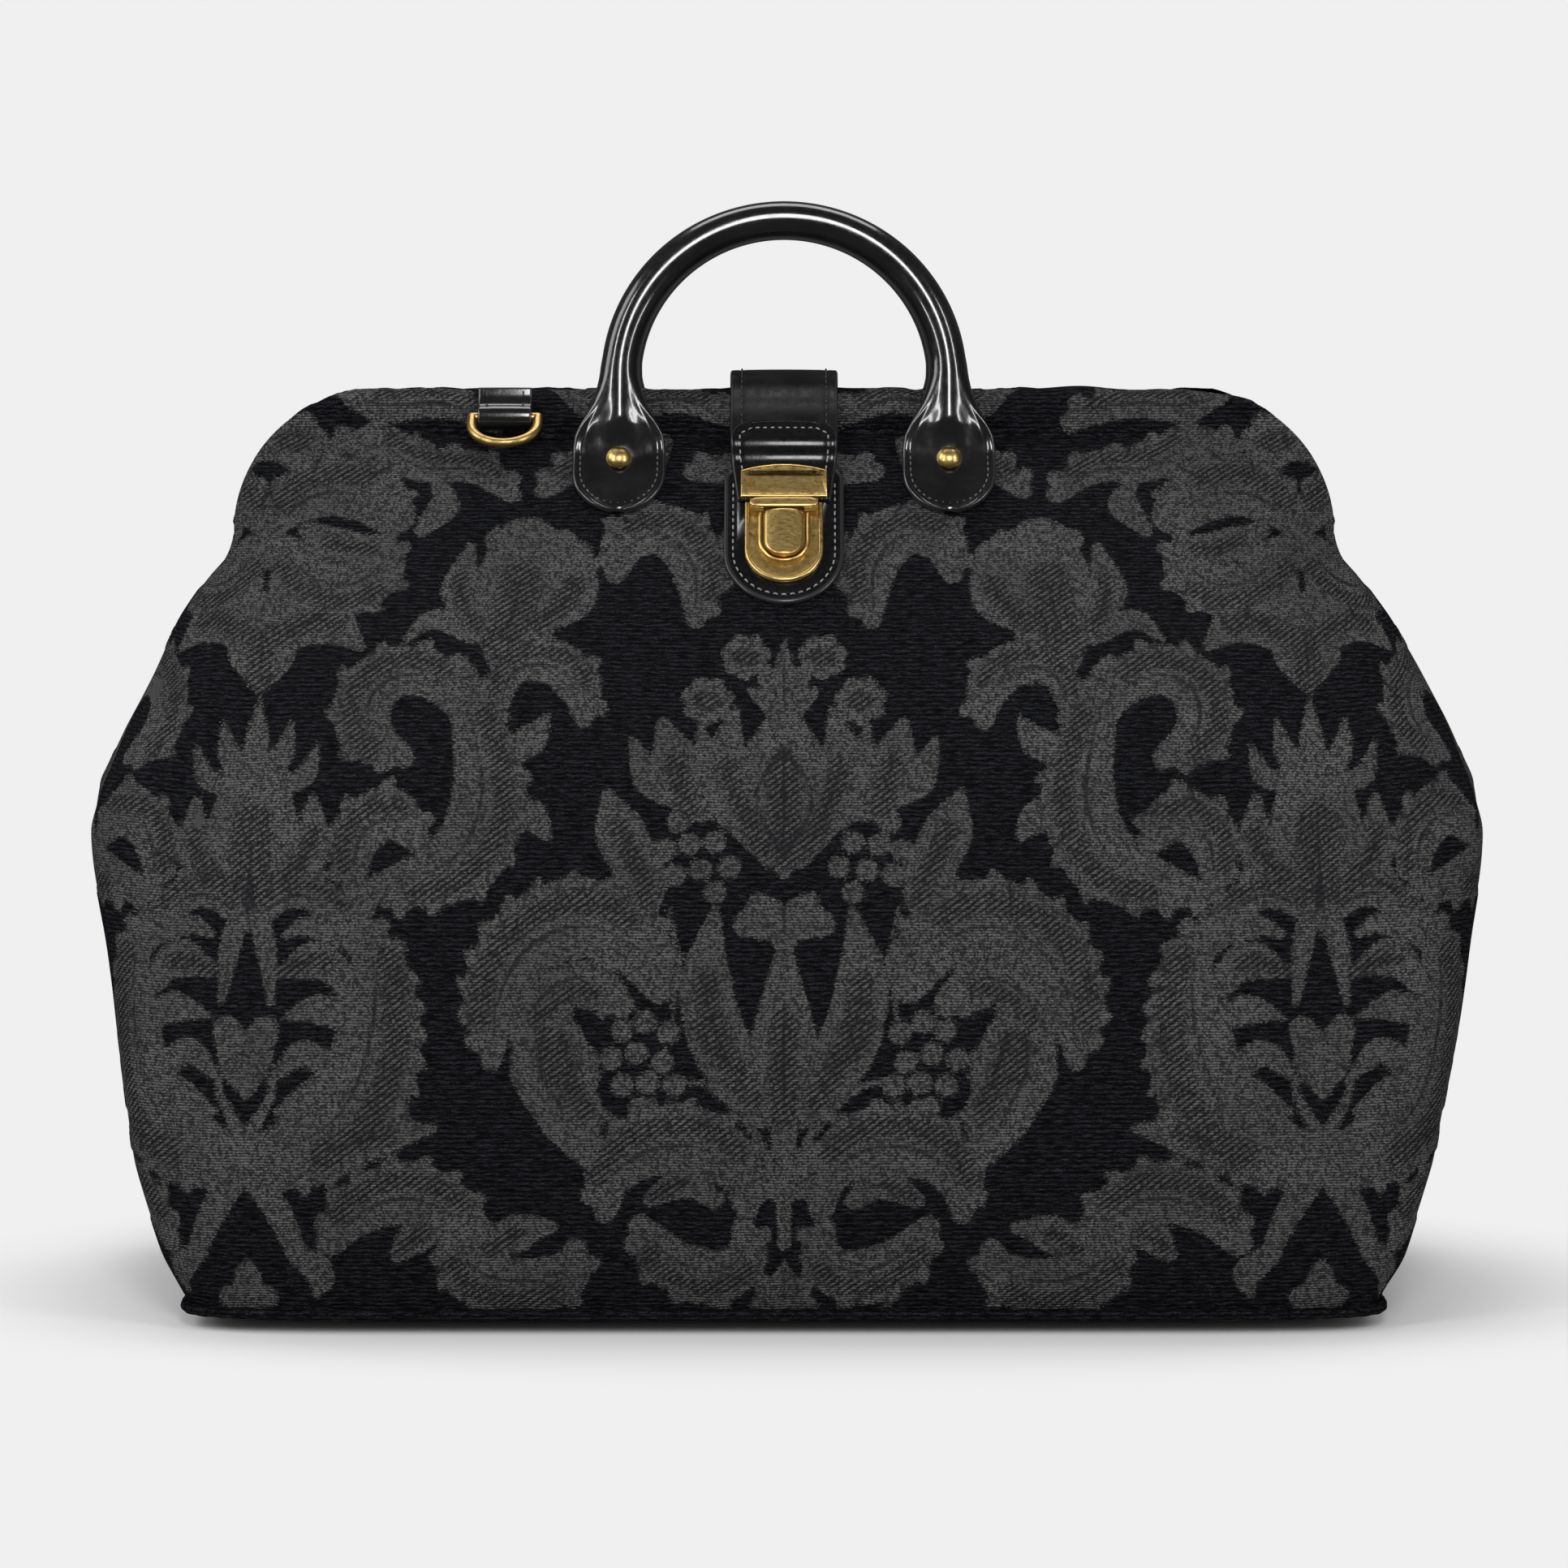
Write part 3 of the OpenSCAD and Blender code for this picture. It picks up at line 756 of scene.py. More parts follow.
@dataclass
class Damask:
    """A mirrored damask of scrolls, leaves, palmettes and berries, drawn as distance fields.

    The drawing covers one half of a repeat; the other half is its mirror image.

    Attributes:
        half_repeat: Width of the drawn half.
        height: Height that is drawn.
        cell: Spacing of the fields' samples.
        reach: Distance beyond a stroke that the fields are drawn to.
        shape: Distance outside the pattern, negative inside.
        vein: Distance outside the dark veins.
        shade: Share of twill.
    """

    half_repeat: float = 187.0
    height: float = 372.0
    cell: float = 0.5
    reach: float = 4.0
    shape: Array = field(init=False, repr=False)
    vein: Array = field(init=False, repr=False)
    shade: Array = field(init=False, repr=False)

    def __post_init__(self) -> None:
        """Makes empty fields and draws the pattern."""
        size = (int(self.height / self.cell) + 1, int(self.half_repeat / self.cell) + 1)
        self.shape = np.full(size, self.reach)
        self.vein = np.full(size, self.reach)
        self.shade = np.zeros(size)
        self.draw()

    def stamp(self, target: Array, x: float, y: float, radius: float) -> None:
        """Joins a disc to a field, and its mirror images.

        Args:
            target: The field.
            x: Centre across.
            y: Centre up.
            radius: The disc's radius.
        """
        far = radius + self.reach
        for cx in (x, -x, 2 * self.half_repeat - x):
            if cx < -far or cx > self.half_repeat + far:
                continue
            i0, i1 = (int(np.clip((cx + s) / self.cell, 0, target.shape[1])) for s in (-far, far))
            j0, j1 = (int(np.clip((y + s) / self.cell, 0, target.shape[0])) for s in (-far, far))
            if i0 >= i1 or j0 >= j1:
                continue
            gx = np.arange(i0, i1) * self.cell - cx
            gy = np.arange(j0, j1) * self.cell - y
            d = np.hypot(gx[None, :], gy[:, None]) - radius
            target[j0:j1, i0:i1] = np.minimum(target[j0:j1, i0:i1], d)

    def stroke(self, points: Points, widths: Sequence[float], vein: bool = False) -> Array:
        """Draws a brush stroke.

        Args:
            points: Points that it passes through.
            widths: Widths spread evenly along it.
            vein: Draws into the veins and not into the shape.

        Returns:
            Samples along the stroke.
        """
        line = catmull(points, 0.9)
        w = np.interp(np.linspace(0, 1, len(line)), np.linspace(0, 1, len(widths)), widths)
        for (x, y), width in zip(line, w):
            self.stamp(self.vein if vein else self.shape, x, y, width / 2)
        return line

    def shadow(self, points: Points, radius: float) -> None:
        """Marks a soft band where the weave is darker and twilled.

        Args:
            points: Points that the band passes through.
            radius: Half of its width.
        """
        for x, y in catmull(points, 1.5):
            j, i = y / self.cell, x / self.cell
            span = int(radius * 1.6 / self.cell)
            j0, j1 = max(int(j) - span, 0), min(int(j) + span, self.shade.shape[0])
            i0, i1 = max(int(i) - span, 0), min(int(i) + span, self.shade.shape[1])
            if j0 >= j1 or i0 >= i1:
                continue
            gy, gx = np.mgrid[j0:j1, i0:i1]
            soft = 1.0 - smoothstep(0.7, 1.3, np.hypot(gx - i, gy - j) * self.cell / radius)
            self.shade[j0:j1, i0:i1] = np.maximum(self.shade[j0:j1, i0:i1], soft)

    def acanthus(self, points: Points, widths: Sequence[float], hand: int, lobes: int) -> None:
        """Draws a full curled leaf with rounded teeth on its outer edge.

        Args:
            points: Points along its spine.
            widths: Widths along the spine.
            hand: 1 for teeth on the left of the way along it, -1 for the right.
            lobes: Number of teeth.
        """
        spine = self.stroke(points, widths)
        tangent = unit(np.gradient(spine, axis=0))
        left = np.stack([-tangent[:, 1], tangent[:, 0]], axis=1) * hand
        w = np.interp(np.linspace(0, 1, len(spine)), np.linspace(0, 1, len(widths)), widths)
        for k in range(lobes):
            i = int((0.06 + 0.86 * k / max(lobes - 1, 1)) * (len(spine) - 1))
            root = spine[i] + left[i] * w[i] * 0.3
            tip = spine[i] + left[i] * (w[i] * 0.5 + 2.2) + tangent[i] * 3.2
            self.stroke([root, (root + tip) / 2 + left[i], tip], [6.0, 6.4, 2.2])
            cut = spine[i] + left[i] * w[i] * 0.46 - tangent[i] * 3.0
            depth = w[i] * (0.14 + 0.16 * (k % 2))
            self.stroke([cut, cut - left[i] * depth - tangent[i] * 3.0], [1.2, 0.2], vein=True)
        inner = spine - left * w[:, None] * 0.1
        self.stroke(self.part(inner, 0.08, 0.9, 9), [0.4, 1.2, 0.9, 0.3], vein=True)
        outer = spine + left * w[:, None] * 0.2
        self.shadow(self.part(outer, 0.15, 0.8, 8), float(np.mean(w)) * 0.2)

    @staticmethod
    def part(line: Array, start: float, end: float, every: int) -> Array:
        """Every so many points of a line, between two shares of its length."""
        return line[int(len(line) * start):int(len(line) * end)][::every]

    def petal(self, points: Points, widths: Sequence[float], lined: bool = True) -> None:
        """Draws a full petal, with a dark line along it.

        Args:
            points: Points along its middle.
            widths: Widths along it.
            lined: Whether it has the dark line and a twilled middle.
        """
        line = self.stroke(points, widths)
        if lined:
            self.stroke(self.part(line, 0.12, 0.8, 6), [0.3, 1.0, 0.4], vein=True)
            self.shadow(self.part(line, 0.1, 0.7, 6), max(widths) * 0.22)

    def palmette(self, base: Sequence[float], height: float, spread: float, petals: int,
                 width: float) -> None:
        """Draws a fan of petals.

        Args:
            base: Where the petals meet.
            height: Length of the middle petal.
            spread: Angle of the outermost petals from the middle, in degrees.
            petals: Number of petals.
            width: Width of a petal.
        """
        for k in range(petals):
            t = 2 * k / (petals - 1) - 1
            a = math.radians(spread * t)
            long = height * (1 - 0.42 * abs(t) ** 1.4)
            way = np.array([math.sin(a), math.cos(a)])
            side = np.array([way[1], -way[0]]) * (0.16 * long * t)
            foot = np.array(base)
            middle, tip = foot + way * long * 0.55 - side * 0.3, foot + way * long + side
            if middle[0] < -width or middle[0] > self.half_repeat + width:
                continue
            self.stroke([foot, middle, tip], [width * 0.35, width, width * 0.9, width * 0.12])
            line = [foot + way * long * 0.3, middle, tip - way * long * 0.22]
            self.stroke(line, [0.25, 0.7, 0.2], vein=True)

    def rose(self, x: float, y: float, radius: float) -> None:
        """Draws a round open flower with two rings of petals.

        Args:
            x: Centre across.
            y: Centre up.
            radius: The flower's radius.
        """
        for count, at, size in ((7, 0.66, 0.42), (1, 0.0, 0.66)):
            for k in range(count):
                a = 2 * math.pi * (k + 0.3) / count
                cx, cy = x + radius * at * math.cos(a), y + radius * at * math.sin(a)
                self.stamp(self.shape, cx, cy, radius * size)
        for k in range(5):
            a = 2 * math.pi * (k + 0.1) / 5
            turn = [(x + radius * q * math.cos(a + d), y + radius * q * math.sin(a + d))
                    for q, d in ((0.28, 0.0), (0.42, 0.6), (0.4, 1.2))]
            self.stroke(turn, [0.3, 0.9, 0.3], vein=True)
        self.shadow([(x - radius * 0.3, y), (x + radius * 0.3, y)], radius * 0.35)

    def berries(self, places: Points, radius: float = 4.2) -> None:
        """Draws berries with a dark spot in each.

        Args:
            places: Their centres.
            radius: Radius of a berry.
        """
        for x, y in places:
            self.stamp(self.shape, x, y, radius)
            self.stroke([(x - 0.8, y + 0.5), (x + 0.8, y - 0.3)], [0.6, 0.5], vein=True)

    def draw(self) -> None:
        """Draws one half of the repeat, from the bottom of the bag to its mouth."""
        self.draw_middle()
        self.draw_flank()
        self.draw_far_column()
        self.draw_shoulder()

    def draw_middle(self) -> None:
        """The middle column: stems, vase of leaves, heart, flame flower and its sprays."""
        self.palmette((0, 6), 22, 60, 5, 9)
        self.acanthus([(50, 40), (40, 27), (24, 21), (13, 29), (14, 40)], [9, 19, 22, 17, 8], 1, 6)
        self.acanthus([(62, 45), (60, 60), (46, 70), (28, 70), (15, 60), (13, 47)],
                      [8, 19, 24, 24, 18, 9], -1, 8)
        self.petal([(46, 50), (34, 56), (24, 50)], [6, 12, 7])
        self.stroke([(0, 34), (0, 60), (0, 84)], [5, 6, 12])
        self.stroke([(2, 52), (9, 72), (24, 88), (35, 92)], [4, 3.4, 3, 2.5])
        self.stroke([(2, 50), (14, 68), (30, 80), (40, 84)], [3, 2.6, 2.4, 2])
        self.petal([(0, 74), (0, 104), (0, 134)], [8, 24, 8])
        self.petal([(7, 80), (20, 100), (27, 124), (24, 150)], [10, 21, 19, 4])
        self.petal([(14, 92), (28, 106), (32, 122)], [6, 12, 4])
        for x, z, size in ((6.5, 148, 8.0), (13, 146, 5.0), (0, 141, 5.0), (9, 154, 3.5)):
            self.stamp(self.shape, x, z, size)
        self.stroke([(0, 143), (0, 156)], [0.6, 1.6], vein=True)
        self.petal([(0, 164), (0, 186), (0, 206), (0, 226)], [5, 25, 28, 5])
        self.petal([(5, 168), (15, 188), (20, 206), (17, 224)], [6, 17, 16, 3])
        self.petal([(8, 176), (22, 188), (27, 200)], [5, 11, 3], False)
        self.stroke([(0, 170), (10, 190), (0, 210)], [1.6, 0.8, 1.6], vein=True)
        self.palmette((0, 218), 32, 34, 5, 9)
        self.rose(13.5, 244, 8.5)
        self.rose(27, 227, 9.0)
        self.berries([(19, 183), (28, 186), (37, 182), (24, 175), (33, 174),
                      (41, 172), (19, 166), (29, 165), (38, 163), (24, 157)])
        self.petal([(33, 184), (37, 200), (42, 218)], [6, 20, 5])
        self.petal([(34, 187), (47, 198), (53, 212)], [5, 13, 3], False)
        self.petal([(32, 189), (28, 202), (29, 217)], [4, 11, 3], False)
        self.petal([(47, 150), (49, 162), (56, 176), (62, 193)], [4, 18, 18, 3])
        self.stroke([(39, 112), (37, 132), (40, 152)], [2, 3, 2])
        self.stroke([(45, 150), (42, 158), (41, 164)], [3, 3, 2])

    def draw_flank(self) -> None:
        """Between the columns: the great curled leaf, its berries and lobed leaf, the scroll and tulip."""
        self.acanthus([(101, 98), (101, 120), (90, 140), (70, 148), (52, 140), (43, 124)],
                      [7, 21, 27, 29, 26, 12], -1, 12)
        self.acanthus([(92, 108), (80, 122), (66, 126), (56, 118)], [8, 14, 15, 9], 1, 4)
        self.acanthus([(80, 114), (82, 98), (74, 80), (68, 62)], [15, 27, 23, 4], -1, 5)
        self.acanthus([(80, 112), (76, 96), (70, 82)], [12, 24, 12], 1, 4)
        self.berries([(56, 109), (48, 112), (40, 108), (60, 99), (51, 101),
                      (42, 98), (56, 90), (47, 91), (38, 90), (50, 82)])
        self.acanthus([(158, 34), (146, 48), (128, 52), (112, 44), (106, 32)], [10, 20, 23, 18, 9], -1, 8)
        self.petal([(134, 30), (126, 38), (118, 36)], [6, 13, 6])
        self.acanthus([(116, 36), (108, 22), (92, 17), (76, 22), (72, 32)], [10, 22, 24, 20, 8], 1, 7)
        self.petal([(104, 30), (92, 38), (80, 40)], [8, 14, 4])
        self.acanthus([(133, 205), (147, 214), (147, 230), (134, 238), (119, 233), (110, 222)],
                      [8, 20, 22, 20, 18, 14], -1, 8)
        self.acanthus([(114, 236), (106, 212), (103, 188), (112, 168), (130, 160), (154, 155)],
                      [12, 20, 27, 27, 17, 4], -1, 10)
        self.acanthus([(150, 160), (150, 176), (138, 185), (128, 176)], [8, 19, 20, 10], -1, 5)
        self.acanthus([(101, 222), (96, 238), (82, 241), (72, 232), (70, 219)], [7, 13, 18, 17, 7], -1, 5)
        self.petal([(98, 206), (88, 212), (83, 220)], [10, 12, 3], False)
        self.petal([(98, 186), (88, 184), (82, 176)], [12, 12, 3], False)
        self.petal([(101, 244), (96, 262), (92, 290)], [10, 36, 24])
        self.petal([(108, 252), (115, 270), (112, 289)], [8, 15, 4])
        self.petal([(90, 254), (76, 268), (74, 286)], [8, 20, 12])
        for x, z in ((102, 292), (90, 295), (79, 291)):
            self.stamp(self.shape, x, z, 5.5)
        self.petal([(110, 250), (124, 258), (134, 250)], [5, 9, 3], False)
        self.acanthus([(31, 258), (30, 280), (41, 296), (56, 292), (60, 277)], [7, 20, 23, 20, 8], 1, 7)

    def from_edge(self, *points: tuple[float, float]) -> list[tuple[float, float]]:
        """Points whose places across are counted back from the repeat's edge."""
        return [(self.half_repeat - x, y) for x, y in points]

    def draw_far_column(self) -> None:
        """The column at the repeat's edge: inverted fork, heart of leaves, tulip with its crown."""
        at = self.from_edge
        self.palmette((self.half_repeat, 8), 20, 50, 3, 11)
        self.stroke(at((0, 62), (11, 46), (19, 28)), [10, 10, 7])
        self.petal(at((18, 30), (26, 22), (24, 14)), [8, 11, 3], False)
        self.petal(at((24, 66), (46, 72), (66, 75)), [20, 16, 3])
        self.acanthus(at((38, 148), (47, 130), (46, 102), (36, 78),
                       (17, 66), (0, 62)), [8, 21, 31, 33, 28, 16], -1, 13)
        self.petal(at((10, 128), (26, 133), (36, 124)), [3, 14, 9])
        self.petal(at((0, 86), (3, 100), (7, 109)), [4, 15, 10], False)
        self.petal(at((10, 92), (20, 101), (28, 97)), [3, 9, 10], False)
        self.petal(at((38, 112), (26, 116), (13, 113)), [10, 11, 2], False)
        self.petal(at((36, 90), (24, 87), (12, 80)), [12, 10, 4], False)
        self.petal(at((14, 142), (22, 145), (32, 140)), [4, 8, 4], False)
        self.stroke(at((0, 70), (9, 86), (9, 92)), [6, 4, 3])
        self.stroke(at((0, 152), (6, 140), (9, 118)), [9, 8, 3])
        self.acanthus(at((2, 148), (16, 157), (30, 152), (38, 140)), [8, 12, 13, 10], -1, 5)
        self.petal(at((0, 156), (0, 176), (0, 196)), [20, 36, 26])
        self.petal(at((8, 158), (21, 172), (22, 190)), [10, 16, 4])
        self.stroke(at((0, 152), (0, 166)), [3.4, 0.6], vein=True)
        for x, z, wide in ((0, 227, 10), (13, 219, 9), (23, 210, 8)):
            self.petal(at((x * 0.35, 196), (x * 0.8, z - 12), (x, z)), [8, wide, 2], False)
        self.petal(at((0, 230), (0, 246), (0, 262)), [4, 26, 14])
        self.petal(at((4, 250), (22, 258), (37, 247)), [14, 20, 4])
        self.petal(at((4, 262), (8, 270), (3, 280)), [10, 14, 4], False)

    def draw_shoulder(self) -> None:
        """The top of the bag: great curled leaves and flowers that run over the frame."""
        self.acanthus([(184, 300), (172, 313), (154, 315), (141, 303)], [12, 25, 29, 18], -1, 7)
        self.acanthus([(184, 290), (174, 276), (157, 270), (144, 279), (143, 292)],
                      [10, 19, 23, 19, 8], 1, 7)
        self.petal([(146, 288), (158, 289), (172, 296)], [12, 15, 8])
        self.petal([(168, 283), (176, 286), (184, 292)], [10, 12, 8], False)
        self.petal([(130, 296), (122, 308), (126, 318)], [6, 12, 4], False)
        self.acanthus([(20, 292), (10, 306), (16, 322), (32, 322)], [7, 15, 17, 9], 1, 5)
        self.acanthus([(98, 312), (112, 324), (132, 326), (146, 336), (164, 334)], [8, 15, 17, 15, 7], 1, 7)
        self.acanthus([(86, 314), (72, 326), (52, 324), (44, 336)], [8, 15, 17, 8], -1, 6)
        self.rose(0, 340, 13)
        self.rose(178, 336, 12)
        self.acanthus([(20, 346), (40, 354), (66, 350), (82, 360)], [8, 14, 16, 8], 1, 6)
        self.acanthus([(104, 344), (124, 352), (148, 352), (164, 360)], [8, 14, 16, 8], 1, 6)

    def sample(self, across: Array, up: Array) -> tuple[Array, Array, Array]:
        """Reads the fields at places on the cloth.

        Args:
            across: Distance from the middle of the panel.
            up: Distance up the panel.

        Returns:
            Distance outside the pattern, distance outside its veins, and the twill's share.
        """
        repeat = 2 * self.half_repeat
        x = np.abs(across) % repeat
        x = np.where(x > self.half_repeat, repeat - x, x) / self.cell
        y = np.clip(up, 0, self.height - 1) / self.cell
        i = np.clip(x.astype(int), 0, self.shape.shape[1] - 2)
        j = np.clip(y.astype(int), 0, self.shape.shape[0] - 2)
        fx, fy = x - i, y - j

        def read(f: Array) -> Array:
            """Bilinear value of one field."""
            low, high = (f[j + k, i] * (1 - fx) + f[j + k, i + 1] * fx for k in (0, 1))
            return low * (1 - fy) + high * fy

        return read(self.shape), read(self.vein), read(self.shade)


# ---------------------------------------------------------------- cloth body


@dataclass
class BagForm:
    """Shape of the body at each level: half width, half depth, side depth and squareness.

    Attributes:
        half_w: Half width at its widest level.
        half_d: Half depth at its fullest level.
        pin_z: Level of the hinge pins.
        bend_x: Distance of the frame corners' centres from the middle.
        bend_z: Their level.
        bend_r: Radius of the cloth round them.
        crease_z: Level of the crease under the sleeves.
        mouth_z: Top of the sleeves.
        base_z: Bottom of the panels.
    """

    half_w: float = 250.0
    half_d: float = 114.0
    pin_z: float = 272.0
    bend_x: float = 147.5
    bend_z: float = 277.0
    bend_r: float = 52.9
    crease_z: float = 313.5
    mouth_z: float = 330.0
    base_z: float = 7.2

    def __post_init__(self) -> None:
        """Smooths the tables of the form."""
        w, d = self.half_w, self.half_d
        self.width_at = self.smoothed(
            [(0, w - 44), (6, w - 41.5), (24, w - 31), (58, w - 20.5), (105, w - 12.5), (151, w - 4.5),
             (174, w), (188, w - 2.5), (208, w - 11), (243, w - 28.6), (self.pin_z, 202.4),
             (self.bend_z, self.bend_x + self.bend_r)], 2.5)
        self.depth_at = self.smoothed(
            [(0, d - 13), (8, d - 11), (30, d - 4), (60, d), (100, d - 1), (135, d - 7), (165, d - 15),
             (195, d - 25), (225, d - 38), (251, 62), (304, 24), (self.crease_z, 14.6),
             (self.mouth_z, 14.4)], 3.0)
        self.side_at = self.smoothed(
            [(0, 50), (100, 48), (175, 34), (245, 18), (self.pin_z, 14), (self.mouth_z, 14.2)], 4.0)
        self.square_at = self.smoothed(
            [(0, 9), (60, 6), (135, 4), (195, 3), (245, 2.5), (self.pin_z, 2.3), (304, 2.4),
             (self.crease_z, 5), (self.mouth_z, 5)], 3.0)

    def turned_in(self, row: Array, level: float, radius: float) -> Array:
        """A row of points narrowed to a round frame corner at another level.

        Args:
            row: The points.
            level: Their new level.
            radius: Radius of the corner.

        Returns:
            The moved points.
        """
        moved = row.copy()
        beyond = np.maximum(np.abs(row[:, 0]) - self.bend_x, 0.0)
        reach = math.sqrt(max(radius**2 - (level - self.bend_z) ** 2, 0.0))
        share = min(reach / max(beyond.max(), 1e-6), 1.0)
        moved[:, 0] = np.sign(row[:, 0]) * (np.minimum(np.abs(row[:, 0]), self.bend_x) + beyond * share)
        moved[:, 2] = level
        return moved

    @staticmethod
    def smoothed(table: Sequence[tuple[float, float]], sigma: float) -> Callable[[Array], Array]:
        """A table as a rounded function of the level.

        Args:
            table: Level and value pairs.
            sigma: How far the corners are rounded.

        Returns:
            The function.
        """
        step, margin, window, ends = 0.5, 20, 24, 30
        z, v = np.array(table, float).T
        fine = np.arange(z[0] - margin, z[-1] + margin, step)
        first = (v[1] - v[0]) / (z[1] - z[0])
        values = np.interp(fine, z, v) + np.where(fine < z[0], first * (fine - z[0]), 0.0)
        kernel = np.exp(-0.5 * (np.arange(-window, window + 1) * step / sigma) ** 2)
        values = np.convolve(values, kernel / kernel.sum(), mode="same")
        return lambda level: np.interp(level, fine[ends:-ends], values[ends:-ends])

    def half_width(self, z: Array) -> Array:
        """Half width at level z, round the frame corner above the hinge.

        Args:
            z: The level.

        Returns:
            Half widths.
        """
        z = np.asarray(z, float)
        low = self.width_at(np.minimum(z, self.bend_z))
        high = self.bend_x + np.sqrt(np.maximum(self.bend_r**2 - (z - self.bend_z) ** 2, 0.0))
        return np.where(z < self.bend_z, low, high)

    def ring(self, z: float, columns: int, inset: float = 0.0, width: Optional[float] = None) -> Array:
        """Half outline of the front at one level, from +X to -X, evenly spaced.

        Args:
            z: The level.
            columns: Number of points.
            inset: How far inside the outer face.
            width: Half width to use in place of the form's own.

        Returns:
            Points of the outline.
        """
        w = (float(self.half_width(z)) if width is None else width) - inset
        e = float(self.side_at(z)) - inset
        d = max(float(self.depth_at(z)) - inset - e, 0.2)
        p = 2.0 / float(self.square_at(z))
        a = np.linspace(0, math.pi, 400)
        x = w * np.sign(np.cos(a)) * np.abs(np.cos(a)) ** p
        y = -e - d * np.sin(a) ** p
        line = np.stack([np.r_[w, x, -w], np.r_[0.0, y, 0.0]], axis=1)
        line = resample(line, columns)
        return np.c_[line, np.full(columns, z)]


@dataclass
class ClothPanel:
    """One woven panel, from the bottom seam over the sleeve to its facing inside the mouth.

    Attributes:
        side: Which half of the bag it is.
        form: Shape of the body.
        pattern: The woven pattern.
        columns: Vertices across.
        rows: Vertices up the outside.
        lid_rows: Rows that roll over the top of the sleeve.
        crest_rows: Rows from there to the meeting line of the mouth.
        facing_rows: Rows of the facing inside the mouth.
        pile: Height of the chenille above the flat weave.
        rise: How far the roll rises over the last outside row.
        roll: How far it reaches back.
        facing: Depth of the facing.
    """

    side: Side
    form: BagForm
    pattern: Damask
    columns: int = 391
    rows: int = 218
    lid_rows: int = 9
    crest_rows: int = 6
    facing_rows: int = 8
    pile: float = 0.5
    rise: float = 5.9
    roll: float = 6.8
    facing: float = 14.0

    @property
    def inner_row(self) -> int:
        """First row of those that lie inside the mouth, half way over the crest."""
        return self.rows + self.lid_rows + self.crest_rows // 2

    def levels(self) -> Array:
        """Levels of the outside rows, evenly spaced along the middle of the front.

        Returns:
            The levels.
        """
        z = np.linspace(self.form.base_z, self.form.mouth_z - 6.0, 900)
        s = arc(np.stack([self.form.depth_at(z), z], axis=1))
        return np.interp(np.linspace(0, s[-1], self.rows), s, z)

    def build_points(self) -> tuple[Array, Array, Array]:
        """Places of the grid and the cloth's own coordinates.

        Returns:
            The grid of points, and the distances across and up the cloth.
        """
        z = self.levels()
        rows = [self.form.ring(level, self.columns) for level in z]
        top = rows[-1]
        flat = np.abs(top[:, 1] / top[:, 1].min())
        for a in np.linspace(0.12, 1.0, self.lid_rows):
            turn = a * math.pi / 2
            lid = self.form.turned_in(top, z[-1] + self.rise * math.sin(turn), self.form.bend_r)
            lid[:, 1] = top[:, 1] + flat * self.roll * (1 - math.cos(turn))
            rows.append(lid)
        crest = rows[-1]
        for a in np.linspace(0.2, 1.0, self.crest_rows):
            inner = crest.copy()
            inner[:, 1] = crest[:, 1] * (1 - a) - 0.4 * a * np.minimum(1.0, np.abs(crest[:, 1]))
            inner[:, 2] = crest[:, 2] - 2.2 * a**3
            rows.append(inner)
        edge = rows[-1]
        for a in np.linspace(0.2, 1.0, self.facing_rows):
            down = edge.copy()
            down[:, 0] = edge[:, 0] * (1 - 0.02 * a)
            down[:, 2] = edge[:, 2] - self.facing * a
            rows.append(down)
        points = np.stack(rows)
        across = np.stack([arc(r[:, :2]) for r in rows])
        across -= across[:, [self.columns // 2]]
        middle = points[:, self.columns // 2]
        up = np.repeat((arc(middle[:, 1:]) + self.form.base_z)[:, None], self.columns, axis=1)
        return points, across, up

    def softness(self, points: Array, across: Array) -> Array:
        """Soft shape of the cloth over the plain form: crease, folds, puckers and sag.

        Args:
            points: The grid.
            across: Distance across the cloth.

        Returns:
            How far each vertex stands out along its normal.
        """
        x, z = points[..., 0], points[..., 2]
        shift = 0.0 if self.side is Side.FRONT else 2.1
        crease = (1 - smoothstep(118, 150, np.abs(x))) * (0.75 + 0.25 * np.sin(x / 23 + shift))
        level = self.form.crease_z + 1.2 * np.sin(x / 31 + 0.8 + shift)
        out = -3.4 * crease * bell(z - level, 1.7)
        out += 1.5 * crease * bell(z - level - 6.5, 3.6)
        out += 0.5 * crease * bell(z - level + 6, 4.0) * np.sin(x / 9.0)
        body = smoothstep(20, 60, z) * (1 - smoothstep(225, 262, z))
        out += body * (1.0 * np.sin(x / 47 + z / 61 + shift) + 0.8 * np.sin(x / 29 - z / 83 + 1.3 + shift))
        out += body * 0.5 * np.sin(x / 17 + 2.0 * np.sin(z / 37 + shift))
        fold = smoothstep(150, 215, np.abs(across)) * smoothstep(120, 200, z) * (1 - smoothstep(262, 275, z))
        out += 1.6 * fold * np.sin((np.abs(across) + 0.75 * z) / 9.5 + shift)
        out -= bell(z - self.form.pin_z + 3, 9) * smoothstep(185, 205, np.abs(x))
        pucker = bell(z - self.form.base_z, 10)
        out += 0.5 * pucker * np.sin(across / 3.7 + 1.4 * np.sin(across / 19 + shift))
        seam = bell(np.abs(across) - np.abs(across).max(axis=1, keepdims=True), 3.0)
        out -= 0.9 * seam * (z < self.form.pin_z - 6)
        wavy = 0.5 * np.sin(x / 13 + shift) + 0.4 * np.sin(x / 5.3 + 2 * shift)
        row = np.arange(points.shape[0])[:, None]
        return np.where(row < self.rows, out, np.where(row < self.inner_row, wavy, 0.25))

